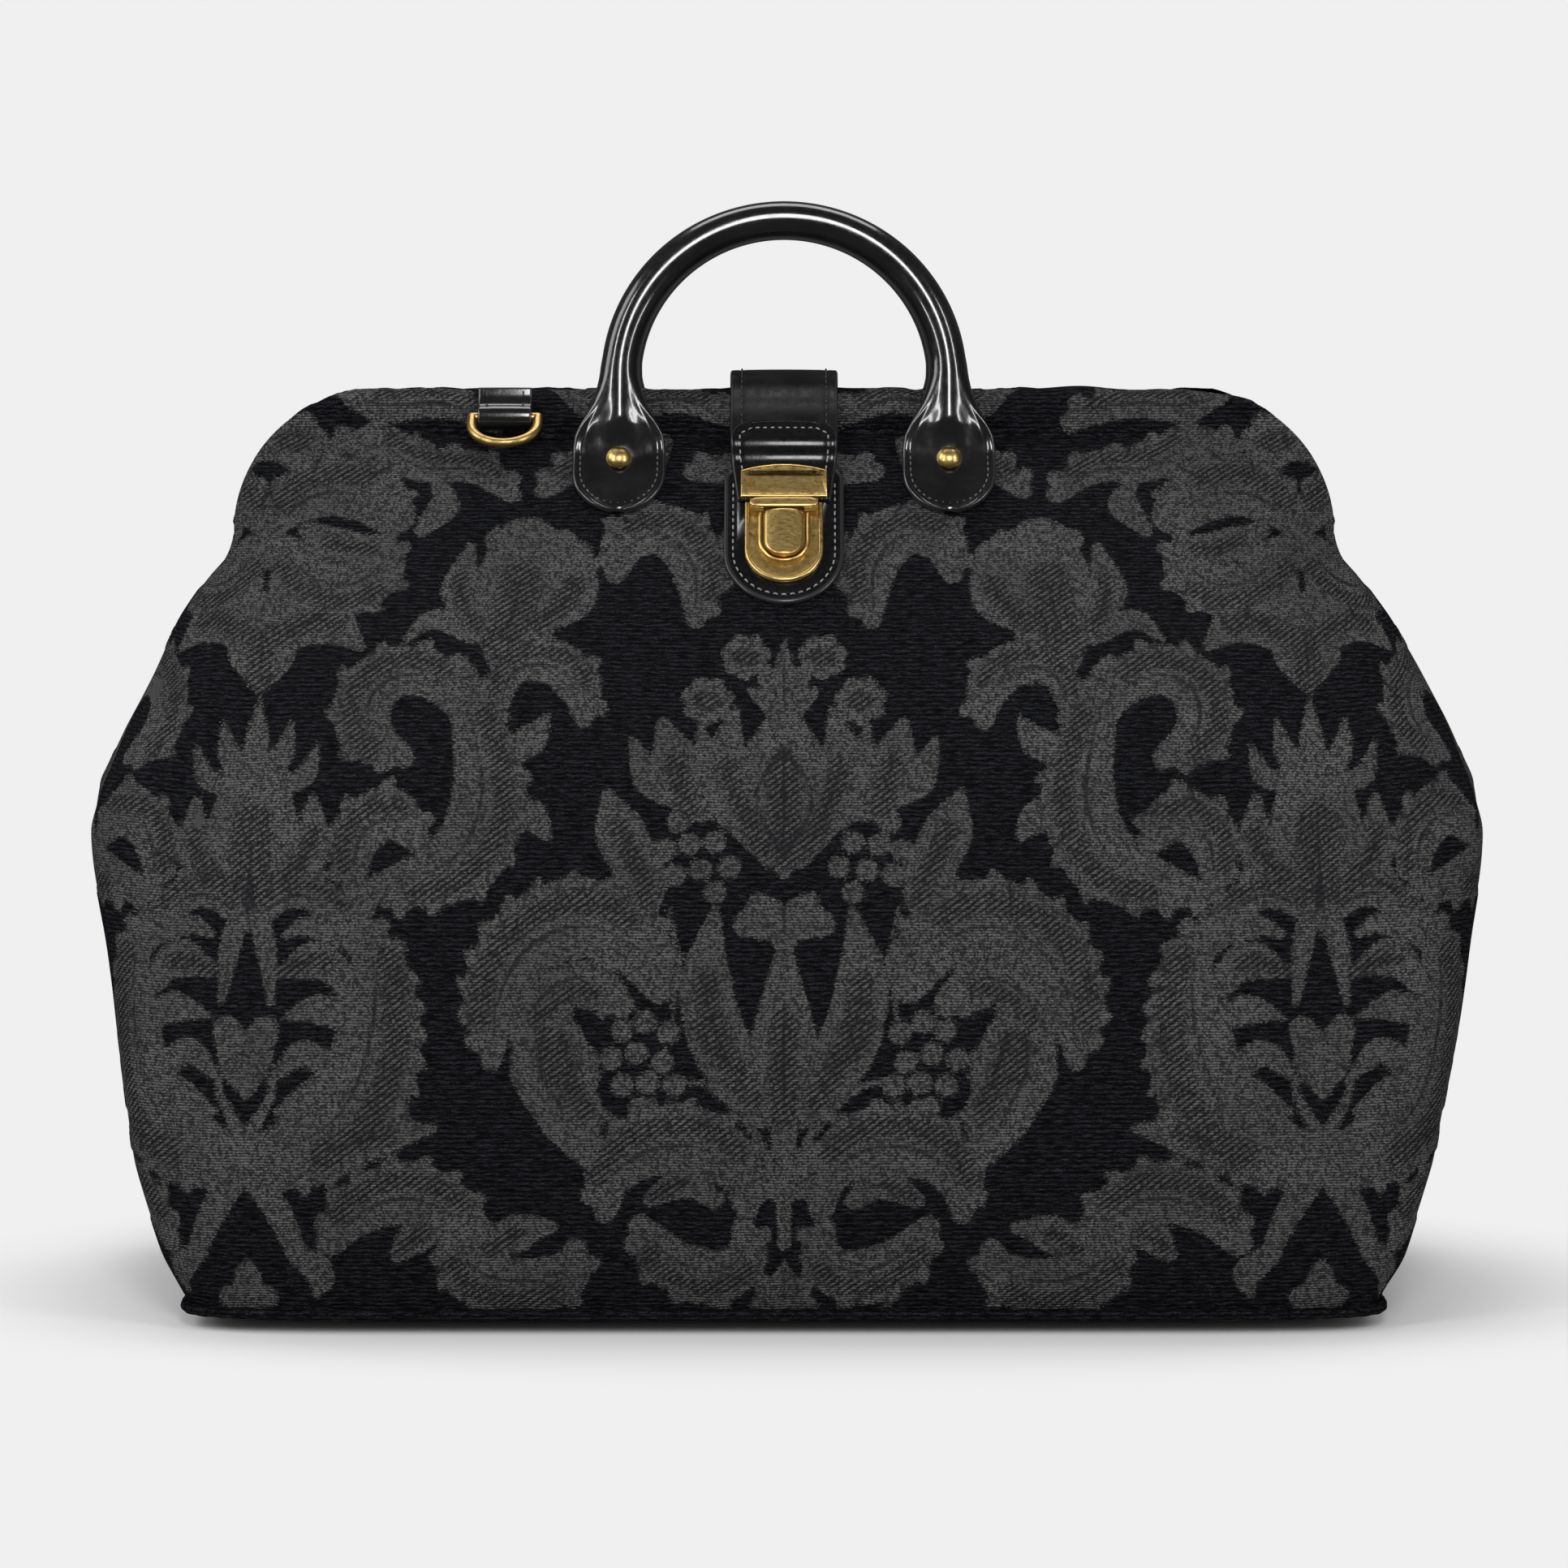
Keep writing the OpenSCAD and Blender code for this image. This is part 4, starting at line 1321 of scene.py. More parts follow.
    def build(self) -> Piece:
        """Makes the panel and dresses it.

        Returns:
            The panel.
        """
        points, across, up = self.build_points()
        motif, vein, shade = self.pattern.sample(across, up)
        motif[self.inner_row:] = 3.0
        normals = grid_normals(points)
        raised = self.pile * smoothstep(-0.6, 0.6, motif)
        out = self.softness(points, across) + raised - self.pile * 0.5
        points = points - normals * out[..., None] * np.sign(normals[self.rows // 2, self.columns // 2, 1])
        points[:, [0, -1], 1] = 0.0
        points[..., 1] = np.minimum(points[..., 1], -0.02)
        points = mirrored(points, self.side)
        apart = 0.0 if self.side is Side.FRONT else 900.0
        cloth = np.stack([across + apart, up, np.zeros_like(up)], axis=-1).reshape(-1, 3)
        values = {"cloth": cloth, "motif": motif.ravel(), "vein": vein.ravel(), "shade": shade.ravel()}
        piece = make_piece(f"{self.side.word}_cloth", points.reshape(-1, 3), grid_faces(*points.shape[:2]),
                           CLOTH, values, flip=self.side is Side.FRONT)
        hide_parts(f"{self.side.word}_body_panel", f"{self.side.word}_top_panel")
        bend_to_frame(piece)
        return piece


def bend_to_frame(piece: Piece) -> None:
    """Bakes a cloth piece's transform into its mesh.

    Args:
        piece: The finished piece.
    """
    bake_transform(piece)


@dataclass
class Lining:
    """Twill lining of one half, from the floor to the facing of the mouth.

    Attributes:
        side: Which half it lines.
        form: Shape of the body.
        inset: Gap to the outer face of the cloth.
        inner_r: Radius inside the frame corner.
        low_z: Level of its lowest row.
        turn_z: Level where it turns towards the mouth.
        rise: Height over which it closes to the facing.
        hem: Height of its upright edge behind the facing.
        early: Not used; meant as how much sooner the lining turns with the frame than the outer cloth.
        columns: Vertices across.
    """

    side: Side
    form: BagForm
    inset: float = 3.0
    inner_r: float = 41.5
    low_z: float = 13.0
    turn_z: float = 309.0
    rise: float = 9.0
    hem: float = 8.0
    early: float = 4.5
    columns: int = 200

    def half_width(self, z: float) -> float:
        """Half width of the lining at level z, kept inside the hinge and the frame.

        Args:
            z: The level.

        Returns:
            The half width.
        """
        over = max(z - self.form.bend_z, 0.0)
        narrow = self.form.bend_x + math.sqrt(max(self.inner_r**2 - over**2, 0.0))
        wide = float(self.form.half_width(z)) - self.inset
        share = float(smoothstep(232, 262, z))
        return wide * (1 - share) + min(wide, narrow) * share

    def build(self) -> Piece:
        """Makes the lining, with soft folds.

        Returns:
            The lining.
        """
        rows = [self.form.ring(z, self.columns, self.inset, self.half_width(z) + self.inset)
                for z in np.linspace(self.low_z, self.turn_z, 110)]
        last = rows[-1]
        for a in np.linspace(0.1, 1.0, 8):
            row = self.form.turned_in(last, self.turn_z + self.rise * a, self.inner_r)
            row[:, 1] = last[:, 1] * (1 - a) - 0.85 * a * np.minimum(1.0, np.abs(last[:, 1]))
            rows.append(row)
        inner = rows[-1]
        for a in np.linspace(0.25, 1.0, 4):
            level = self.turn_z + self.rise + self.hem * a
            rows.append(self.form.turned_in(inner, level, self.inner_r))
        points = np.stack(rows)
        n = grid_normals(points)
        n *= np.sign(n[50, self.columns // 2, 1])
        z, x = points[..., 2], points[..., 0]
        soft = smoothstep(20, 60, z) * (1 - smoothstep(240, 290, z))
        folds = soft * (1.2 + 1.1 * np.sin(x / 21 + z / 70) + 0.6 * np.sin(x / 9 - z / 31))
        points = points + n * folds[..., None]
        points[:, [0, -1], 1] = 0.0
        points = mirrored(points, self.side)
        piece = make_piece(f"{self.side.word}_lining", points.reshape(-1, 3), grid_faces(*points.shape[:2]),
                           LINING, flip=self.side is Side.BACK)
        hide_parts("lining")
        bend_to_frame(piece)
        return piece


@dataclass
class MouthFacing:
    """Strips of plain cloth that cover the steel of one frame at both corners of the mouth.

    Attributes:
        side: Which half it is on.
        form: Shape of the body.
        line_r: Radius of its middle line round the frame corner.
        half_band: Half of its width.
        start: Angle at which it begins, above the hinge.
        end: Angle at which it meets the panel's own facing.
        lift: How far its edges lie from the meeting plane of the halves.
        swell: How much further its middle lies.
        tuck: How much further its edges lie behind the panel's facing.
    """

    side: Side
    form: BagForm
    line_r: float = 46.9
    half_band: float = 5.6
    start: float = 9.0
    end: float = 102.0
    lift: float = 0.3
    swell: float = 0.5
    tuck: float = 0.3

    def build(self) -> Piece:
        """Makes the strips of both corners, which turn with the steel frame.

        Returns:
            The strips as one piece.
        """
        angle = np.radians(np.linspace(self.start, self.end, 40))[:, None]
        u = np.linspace(-1.0, 1.0, 9)[None, :]
        radius = self.line_r + self.half_band * u
        x = self.form.bend_x + radius * np.cos(angle)
        behind = smoothstep(64, 74, np.degrees(angle)) * u**2
        y = -self.lift - self.swell * (1 - u**2) - self.tuck * behind
        z = self.form.bend_z + radius * np.sin(angle)
        right = np.stack([x, y, z], axis=-1).reshape(-1, 3)
        quads = grid_faces(*x.shape)
        points, faces = joined([(right, quads), (right * (-1, 1, 1), quads[:, ::-1])])
        piece = make_piece(f"{self.side.word}_mouth_facing", mirrored(points, self.side), faces,
                           PLAIN_CLOTH, flip=self.side is Side.BACK)
        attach(piece, f"{self.side.word}_frame")
        return piece


@dataclass
class BottomWelt:
    """Piped welt round the bottom seam.

    Attributes:
        form: Shape of the body.
        level: Its height.
        grow: How far its centre stands outside the bottom outline.
        radius: Its radius.
        around: Vertices round it.
    """

    form: BagForm
    level: float = 7.0
    grow: float = 1.6
    radius: float = 1.9
    around: int = 12

    def build(self) -> Piece:
        """Makes the welt as one closed tube with a slight twist in its cover.

        Returns:
            The welt.
        """
        front = self.form.ring(8.0, 300, -self.grow)[:, :2]
        loop = resample(np.vstack([front, (front * [1, -1])[::-1][1:]]), 720)[:-1]
        tangent = unit(np.roll(loop, -1, 0) - np.roll(loop, 1, 0))
        out = np.stack([tangent[:, 1], -tangent[:, 0]], axis=1)
        a = np.linspace(0, 2 * math.pi, self.around, endpoint=False)
        s = arc(loop)[:, None]
        r = self.radius * (1 + 0.06 * np.sin(s / 1.1 + a[None, :]))
        xy = loop[:, None, :] + out[:, None, :] * (r * np.cos(a))[..., None]
        z = self.level + r * np.sin(a)
        points = np.concatenate([xy, z[..., None]], axis=2)
        faces = grid_faces(len(loop) + 1, self.around, closed=True) % (len(loop) * self.around)
        piece = make_piece("bottom_welt", points.reshape(-1, 3), faces, PLAIN_CLOTH)
        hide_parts("bottom_piping")
        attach(piece, "body")
        return piece


# ---------------------------------------------------------------- leather work


@dataclass
class Stitching:
    """A row of separate stitches along a line.

    Attributes:
        pitch: Distance from one stitch to the next.
        length: Length of a stitch.
        radius: Radius of the thread.
    """

    pitch: float = 2.6
    length: float = 1.9
    radius: float = 0.34

    def along(self, line: Array, out: Array) -> Mesh:
        """Stitches along a line.

        Args:
            line: Points of the line.
            out: Direction out of the leather at each point.

        Returns:
            Vertices and faces of all stitches.
        """
        s = arc(line)
        count = max(int(s[-1] / self.pitch), 1)
        parts = []
        for middle in (np.arange(count) + 0.5) * s[-1] / count:
            ends = [middle - self.length / 2, middle + self.length / 2]
            a, b = (np.array([np.interp(e, s, line[:, k]) for k in range(3)]) for e in ends)
            n = np.array([np.interp(middle, s, out[:, k]) for k in range(3)])
            parts.append(self.stitch(a, b, n / np.linalg.norm(n)))
        return joined(parts)

    def stitch(self, a: Array, b: Array, n: Array) -> Mesh:
        """One arched stitch from a to b that dives into the leather at its ends.

        Args:
            a: One end.
            b: The other end.
            n: Direction out of the leather.

        Returns:
            Vertices and faces.
        """
        way = b - a
        side = np.cross(way, n)
        side /= np.linalg.norm(side)
        turn = np.linspace(0, 2 * math.pi, 6, endpoint=False)
        circle = np.cos(turn)[:, None] * side + np.sin(turn)[:, None] * n
        half = ((0.0, -0.35, 0.55), (0.18, 0.1, 0.95), (0.5, 0.28, 1.0))
        arch = half + tuple((1.0 - t, height, thick) for t, height, thick in half[1::-1])
        rings = [a + way * t + n * height + self.radius * thick * circle for t, height, thick in arch]
        return loft(np.stack(rings))


def dress_stitches(name: str, parts: Sequence[Mesh], thread: Thread, body: str) -> Piece:
    """Makes one piece of several rows of stitches.

    Args:
        name: The piece's name.
        parts: The rows.
        thread: The thread.
        body: The body that it rides on.

    Returns:
        The piece.
    """
    points, faces = joined(parts)
    piece = make_piece(name, points, faces, thread)
    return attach(piece, body)


@dataclass
class LeatherBand:
    """A flat leather piece that follows a path in the Y-Z plane.

    Attributes:
        path: Points (y, z) of its middle.
        width: Gives the full width from the distance along the path.
        thickness: Its thickness.
        crown: How far its middle stands higher than its edges.
        groove: Distance of the stitch channel from the edge, or 0 for none.
    """

    path: Points
    width: Callable[[Array], Array]
    thickness: float = 2.0
    crown: float = 0.3
    groove: float = 0.0

    def frames(self) -> tuple[Array, Array, Array]:
        """Samples of the path, with the way out of the leather and the distance along it.

        Returns:
            The samples, the ways out and the distances.
        """
        line = catmull(self.path, 0.8)
        way = unit(np.gradient(line, axis=0))
        out = np.stack([way[:, 1], -way[:, 0]], axis=1)
        return line, out, arc(line)

    def mesh(self) -> tuple[Array, list, Array]:
        """Vertices, faces and the mark of the painted edge and its painted highlight.

        Returns:
            Vertices, faces and 1 at each vertex of the edge.
        """
        line, out, s = self.frames()
        half = self.width(s) / 2
        shown, hidden = 41, 21
        q = np.concatenate([np.linspace(-1, 1, shown), np.linspace(1, -1, hidden)[1:-1]])
        top = np.arange(len(q)) < shown
        sections, edges = [], []
        for (y, z), (ny, nz), w in zip(line, out, half):
            u = np.sign(q) * (1 - (1 - np.abs(q)) ** 1.5)
            x = w * u
            inside = np.maximum(w - np.abs(x), 0.0)
            rim = quarter_round(inside / 0.9)
            height = self.thickness / 2 * rim
            height = np.where(top, height + self.crown * (1 - u**2), -height)
            if self.groove:
                height -= np.where(top, 0.28 * bell(inside - self.groove, 0.55), 0.0)
            sections.append(np.stack([x, y + ny * height, z + nz * height], axis=1))
            edges.append((inside < 0.75) & (w > 1.5))
        points, faces = loft(np.stack(sections))
        return points, faces, np.concatenate(edges).astype(float)

    def stitch_line(self, offset: float, hand: int, start: float, end: float) -> tuple[Array, Array]:
        """A line for stitches near one edge.

        Args:
            offset: Distance from the edge.
            hand: -1 for the left edge, 1 for the right.
            start: Share of the path where it begins.
            end: Share where it ends.

        Returns:
            The line and the way out of the leather along it.
        """
        line, out, s = self.frames()
        keep = (s >= start * s[-1]) & (s <= end * s[-1])
        x = hand * (self.width(s) / 2 - offset)
        top = self.thickness / 2 + self.crown * 0.3
        points = np.stack([x, line[:, 0] + out[:, 0] * top, line[:, 1] + out[:, 1] * top], axis=1)[keep]
        return points, np.c_[np.zeros(len(out)), out][keep]


@dataclass
class Handle:
    """A rolled leather handle with a round paddle at each end.

    Attributes:
        side: The half that it is on.
        half_w: Half the distance between its legs.
        grip_r: Radius of the roll.
        lean: Lean towards the middle, in radians.
        pivot_y: Depth of the line that its legs bend about.
        pivot_z: Its level.
        leg: Length from there to the arch.
        pad_v: Middle of the paddle, up the slope.
        pad_r: Radius of the paddle.
        pad_n: Height of the paddle's middle above the cloth.
        rivet_v: Place of the rivet, up the slope.
        leg_v: Where the leather leaves the slope and the leg begins.
        seam: Distance of the stitches from the paddle's edge.
    """

    side: Side
    half_w: float = 59.5
    grip_r: float = 6.7
    lean: float = math.radians(12)
    pivot_y: float = 22.5
    pivot_z: float = 320.5
    leg: float = 12.7
    pad_v: float = 28.0
    pad_r: float = 16.8
    pad_n: float = 1.7
    rivet_v: float = 33.0
    leg_v: float = 49.35
    seam: float = 2.9

    def half_width(self, along: Array) -> Array:
        """Half width of the leather at the distance up the slope and on along the leg.

        Args:
            along: The distance.

        Returns:
            Half widths.
        """
        along = np.asarray(along, float)
        circle = np.sqrt(np.maximum(self.pad_r**2 - (along - self.pad_v) ** 2, 0.0))
        share = [(38.0, 1.0), (42.0, 0.965), (45.0, 0.88), (49.0, 0.73), (53.0, 0.6), (58.0, 0.5),
                 (63.0, 0.43), (70.0, 0.0)]
        place, part = np.array(share).T
        flare = np.interp(along, place, np.maximum(part * self.pad_r, self.grip_r))
        return np.where(along < self.pad_v, circle, flare)

    def path(self) -> tuple[Array, Array, Array]:
        """The handle's middle line from one paddle over the arch to the other.

        Returns:
            Its points, the way its face looks, and the distance from the slope's origin to each point.
        """
        low = self.pad_v - self.pad_r
        v = low + (self.leg_v - low) * (1 - np.cos(np.linspace(0.06, 1, 62) * math.pi / 2)) ** 0.9
        lift = smoothstep(33.0, 52.0, v) ** 1.25 / smoothstep(33.0, 52.0, self.leg_v) ** 1.25
        pivot = np.array([-self.half_w, -self.pivot_y, self.pivot_z])
        foot = SLOPE.point(-self.half_w, v, self.pad_n + self.grip_r * lift)
        foot[:, 1:] += (pivot - foot[-1])[1:] * smoothstep(36.0, self.leg_v, v)[:, None]
        up = np.array([0.0, math.sin(self.lean), math.cos(self.lean)])
        rise = np.linspace(0.1, 1, 10) * self.leg
        a = np.linspace(0, math.pi, 97)[1:-1]
        centre = np.array([0.0, -self.pivot_y, self.pivot_z]) + up * self.leg
        bow = centre + np.outer(-np.cos(a), [self.half_w, 0, 0]) + np.outer(np.sin(a), up * self.half_w)
        half = np.vstack([foot, pivot + rise[:, None] * up])
        front = np.array([0.0, -math.cos(self.lean), math.sin(self.lean)])
        turn = smoothstep(38.0, 50.0, v)[:, None]
        face = np.vstack([SLOPE.out * (1 - turn) + front * turn, np.repeat(front[None], len(rise), 0)])
        along = np.concatenate([v, self.leg_v + rise])
        over = self.leg_v + self.leg + self.half_w * np.minimum(a, math.pi - a)
        line = np.vstack([half, bow, (half * [-1, 1, 1])[::-1]])
        face = np.vstack([face, np.repeat(front[None], len(a), 0), face[::-1]])
        return line, unit(face), np.concatenate([along, over, along[::-1]])

    def sections(self) -> tuple[Array, Array]:
        """Closed sections along the handle.

        Returns:
            The sections, and the mark of the painted edge and its painted highlight at each vertex.
        """
        line, face, along = self.path()
        way = unit(np.gradient(line, axis=0))
        across = unit(np.cross(face, way))
        wide = self.half_width(along)
        roll = smoothstep(38.0, 66.0, along)
        mound = (self.grip_r - 1.4) * smoothstep(28.0, 46.0, along)
        theta = np.linspace(0, 2 * math.pi, 60, endpoint=False)
        c, s = np.cos(theta), np.sin(theta)
        u = np.sign(c) * np.abs(c) ** 0.55
        found, edges = [], []
        for k in range(len(line)):
            inside = wide[k] * (1 - np.abs(u))
            rim = quarter_round(inside)
            fill = mound[k] * bell(wide[k] * u, 7.2)
            channel = 0.4 * bell(inside - self.seam, 0.7)
            face_side = 1.25 * rim + 0.4 * (1 - u**2) + fill - channel
            plate = np.where(s >= 0, face_side, -1.25 * rim - 0.6 * fill)
            x = wide[k] * (u * (1 - roll[k]) + c * roll[k])
            y = plate * (1 - roll[k]) + self.grip_r * s * roll[k]
            found.append(line[k] + across[k] * x[:, None] + face[k] * y[:, None])
            edges.append(((inside < 1.1) & (along[k] < 44.0)).astype(float))
        return np.stack(found), np.concatenate(edges)

    def stitches(self) -> list[Mesh]:
        """Stitch rows round the edge of both paddles.

        Returns:
            The rows.
        """
        r, top_v = self.pad_r - self.seam, 38.0
        a = np.radians(np.linspace(-180, 0, 60))
        x = np.concatenate([[-r], r * np.cos(a), [r]])
        v = np.concatenate([[top_v], self.pad_v + r * np.sin(a), [top_v]])
        stitch = Stitching(pitch=2.5, length=1.7, radius=0.3)
        rows = []
        for hand in (-1, 1):
            line = SLOPE.point(hand * self.half_w + x, v, self.pad_n + 1.15)
            out = np.repeat(SLOPE.out[None], len(line), 0)
            rows.append(stitch.along(mirrored(line, self.side), mirrored(out, self.side)))
        return rows

    def rivets(self) -> Piece:
        """Domed rivets through the paddles.

        Returns:
            Both rivets as one piece.
        """
        dome = [(0.4, -5.0), (2.0, -5.0), (2.0, 0.0), (4.3, 0.0), (4.6, 0.35), (4.5, 0.9), (4.1, 1.7),
                (3.4, 2.5), (2.4, 3.15), (1.3, 3.5), (0.3, 3.6)]
        points, faces = lathe(dome)
        parts = []
        for hand in (-1, 1):
            base = SLOPE.point(hand * self.half_w, self.rivet_v, self.pad_n + 2.3)
            placed = base + points[:, :1] * [1, 0, 0] + points[:, 1:2] * SLOPE.up + points[:, 2:] * SLOPE.out
            parts.append((mirrored(placed, self.side), faces))
        merged, all_faces = joined(parts)
        piece = make_piece(f"{self.side.word}_rivet_domes", merged, all_faces, BRIGHT_BRASS,
                           flip=self.side is Side.FRONT)
        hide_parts(f"{self.side.word}_handle_rivets")
        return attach(piece, f"{self.side.word}_frame")

    def build(self) -> list[Piece]:
        """Makes the handle, its stitches and its rivets.

        Returns:
            The pieces.
        """
        word = self.side.word
        sections, edge = self.sections()
        points, faces = loft(mirrored(sections, self.side))
        piece = make_piece(f"{word}_handle", points, faces, GLOSSY_LEATHER, {"edge": edge},
                           flip=self.side is Side.BACK)
        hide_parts(f"{word}_grip", f"{word}_pad_left", f"{word}_pad_right")
        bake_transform(piece)
        thread = dress_stitches(f"{word}_paddle_stitches", self.stitches(), GREY_THREAD, f"{word}_frame")
        return [piece, thread, self.rivets()]


@dataclass
class Closure:
    """The strap over the mouth, its tab with the tongue plate, and the tuck lock on its patch.

    Attributes:
        crease_z: Level of the crease that the strap's path is counted from.
        strap_w: Width of the strap.
        patch_w: Width of the patch.
        patch_low: Its lower end, up the slope.
        patch_high: Its upper end.
        base_w: Width of the lock's base plate.
        base_low: Its lower end.
        base_high: Its upper end.
        tongue_w: Width of the tongue plate.
        tongue_low: Its lower edge.
        tongue_high: Its upper corners.
        tab_w: Width of the tab by the strap.
        tab_end_w: Width that it narrows towards.
        tab_taper: Distance along the tab at which it would reach that.
        tab_corner: Radius of its upper corners.
    """

    crease_z: float = 313.5
    strap_w: float = 39.0
    patch_w: float = 43.0
    patch_low: float = -28.0
    patch_high: float = 30.0
    base_w: float = 28.0
    base_low: float = -20.0
    base_high: float = 14.0
    tongue_w: float = 31.0
    tongue_low: float = 15.0
    tongue_high: float = 26.6
    tab_w: float = 38.6
    tab_end_w: float = 33.0
    tab_taper: float = 40.0
    tab_corner: float = 7.0

    def over(self, path: Points) -> list[tuple[float, float]]:
        """Path with its heights counted from the crease."""
        return [(y, z + self.crease_z) for y, z in path]

    def strap(self) -> list[Piece]:
        """The strap from its anchor on the back over the mouth.

        Returns:
            The strap and its stitches.
        """
        path = self.over([(28.3, -12.4), (26.1, -9.6), (19.6, -3), (16.2, 1.5), (15.8, 6), (15.6, 12.2),
                          (14, 18), (9, 21.6), (0, 22.2), (-9, 21.6), (-14.5, 18), (-17, 12), (-19.5, 6),
                          (-25, -2)])
        band = LeatherBand(path, lambda s: np.full_like(s, self.strap_w), groove=4.2)
        points, faces, edge = band.mesh()
        piece = make_piece("strap_leather", points, faces, SMOOTH_LEATHER, {"edge": edge})
        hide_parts("closure_strap", "strap_anchor")
        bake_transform(piece)
        rows = [Stitching().along(*band.stitch_line(band.groove, hand, 0.52, 0.97)) for hand in (-1, 1)]
        return [piece, dress_stitches("strap_stitches", rows, DARK_THREAD, "strap")]

    def tab_width(self, s: Array) -> Array:
        """Width of the tab, with rounded corners and a slow taper.

        Args:
            s: Distance along it.

        Returns:
            The width there.
        """
        near = self.tab_corner - np.minimum(s, self.tab_corner)
        corner = self.tab_corner - np.sqrt(np.maximum(self.tab_corner**2 - near**2, 0.0))
        taper = smoothstep(self.tab_taper * 0.2, self.tab_taper, s)
        return self.tab_w + (self.tab_end_w - self.tab_w) * taper - 2 * corner

    def tab(self) -> list[Piece]:
        """The tab that is sewn on the strap and carries the tongue plate.

        Returns:
            The tab and its stitches.
        """
        shoulder = SLOPE.point(0, 31.0, 3.7)[1:]
        tip = SLOPE.point(0, 14.6, 3.7)[1:]
        path = self.over([(-23.6, 4.2), (-26.2, 0.0), (-28.6, -3.6)]) + [tuple(shoulder), tuple(tip)]
        band = LeatherBand(path, self.tab_width, crown=0.5, groove=3.4)
        points, faces, edge = band.mesh()
        piece = make_piece("tab_leather", points, faces, POLISHED_LEATHER, {"edge": edge})
        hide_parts("closure_tab")
        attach(piece, "strap")
        line, out, s = band.frames()
        lines = [band.stitch_line(band.groove, hand, 0.17, 0.72) for hand in (-1, 1)]
        k = int(round(float(np.interp(band.groove, s, np.arange(len(s))))))
        left, right = lines[0][0][0], lines[1][0][0]
        base = np.array([0.0, line[k, 0] + out[k, 0] * 1.3, line[k, 1] + out[k, 1] * 1.3])
        across = np.linspace(-1, 1, 30)[:, None] * [11.5, 0, 0] + base
        top = np.vstack([left, across, right])
        stitch = Stitching(pitch=2.7, length=1.8, radius=0.32)
        normals = np.repeat(np.array([[0.0, out[k, 0], out[k, 1]]]), len(top), 0)
        rows = [stitch.along(*lines[0]), stitch.along(*lines[1]), stitch.along(top, normals)]
        return [piece, dress_stitches("tab_stitches", rows, PALE_THREAD, "strap")]

    @staticmethod
    def box_outline(x: float, half: float, low: float, high: float) -> Array:
        """Rectangle of a half width round x, anticlockwise from its lower left corner."""
        return np.array([[x - half, low], [x + half, low], [x + half, high], [x - half, high]])

    @staticmethod
    def bow(radius: float, low: float, high: float) -> Array:
        """Line down one side, round the lower end and up the other side.

        Args:
            radius: Radius of the lower end.
            low: Its lowest height up the slope.
            high: Height of both ends.

        Returns:
            Points (x, v).
        """
        a = np.linspace(0, -math.pi, 61)
        end = np.stack([radius * np.cos(a), low + radius + radius * np.sin(a)], axis=1)
        return np.vstack([[radius, high], end, [-radius, high]])

    def plate_outline(self, width: float, low: float, high: float, corner: float = 0.0) -> Array:
        """Outline with a round lower end, anticlockwise from the upper right.

        Args:
            width: Full width.
            low: Lowest height up the slope.
            high: Highest height.
            corner: Radius of the upper corners.

        Returns:
            Points (x, v).
        """
        r = width / 2
        bow = self.bow(r, low, high)
        if corner <= 0:
            return bow[::-1]
        b = np.linspace(0, math.pi / 2, 9)
        left = np.stack([-r + corner - corner * np.cos(b), high - corner + corner * np.sin(b)], axis=1)
        return np.vstack([bow[1:-1], left, (left * [-1, 1])[::-1]])[::-1]

    def slab(self, outline: Array, levels: Sequence[tuple[float, float]]) -> Mesh:
        """Solid on the slope from an outline, with its edge shaped by inset and height pairs.

        Args:
            outline: Points (x, v).
            levels: Inset and height pairs from the bottom to the top.

        Returns:
            Vertices and faces.
        """
        middle = outline.mean(axis=0)
        n_edge = np.roll(outline, -1, 0) - np.roll(outline, 1, 0)
        n_edge = np.stack([n_edge[:, 1], -n_edge[:, 0]], axis=1)
        n_edge /= np.maximum(np.linalg.norm(n_edge, axis=1, keepdims=True), 1e-9)
        n_edge *= np.sign(np.sum(n_edge * (outline - middle), axis=1).mean())
        rings = []
        for inset, height in levels:
            flat = outline - n_edge * inset
            rings.append(SLOPE.point(flat[:, 0], flat[:, 1], height))
        return loft(np.stack(rings))

    def rim(self, line: Array, height: float, radius: float, squash: float = 1.0) -> Mesh:
        """Wire that follows a line (x, v) at a height over the slope.

        Args:
            line: Points (x, v).
            height: Height of the wire's middle.
            radius: Half of its width.
            squash: Its height as a share of its width, which is 1 for a round wire.

        Returns:
            Vertices and faces.
        """
        way = unit(np.gradient(line, axis=0))
        side = np.stack([way[:, 1], -way[:, 0]], axis=1)
        a = np.linspace(0, 2 * math.pi, 12, endpoint=False)
        rings = []
        for p, n in zip(line, side):
            flat = p + n * (radius * np.cos(a))[:, None]
            rings.append(SLOPE.point(flat[:, 0], flat[:, 1], height + squash * radius * np.sin(a)))
        return loft(np.stack(rings))

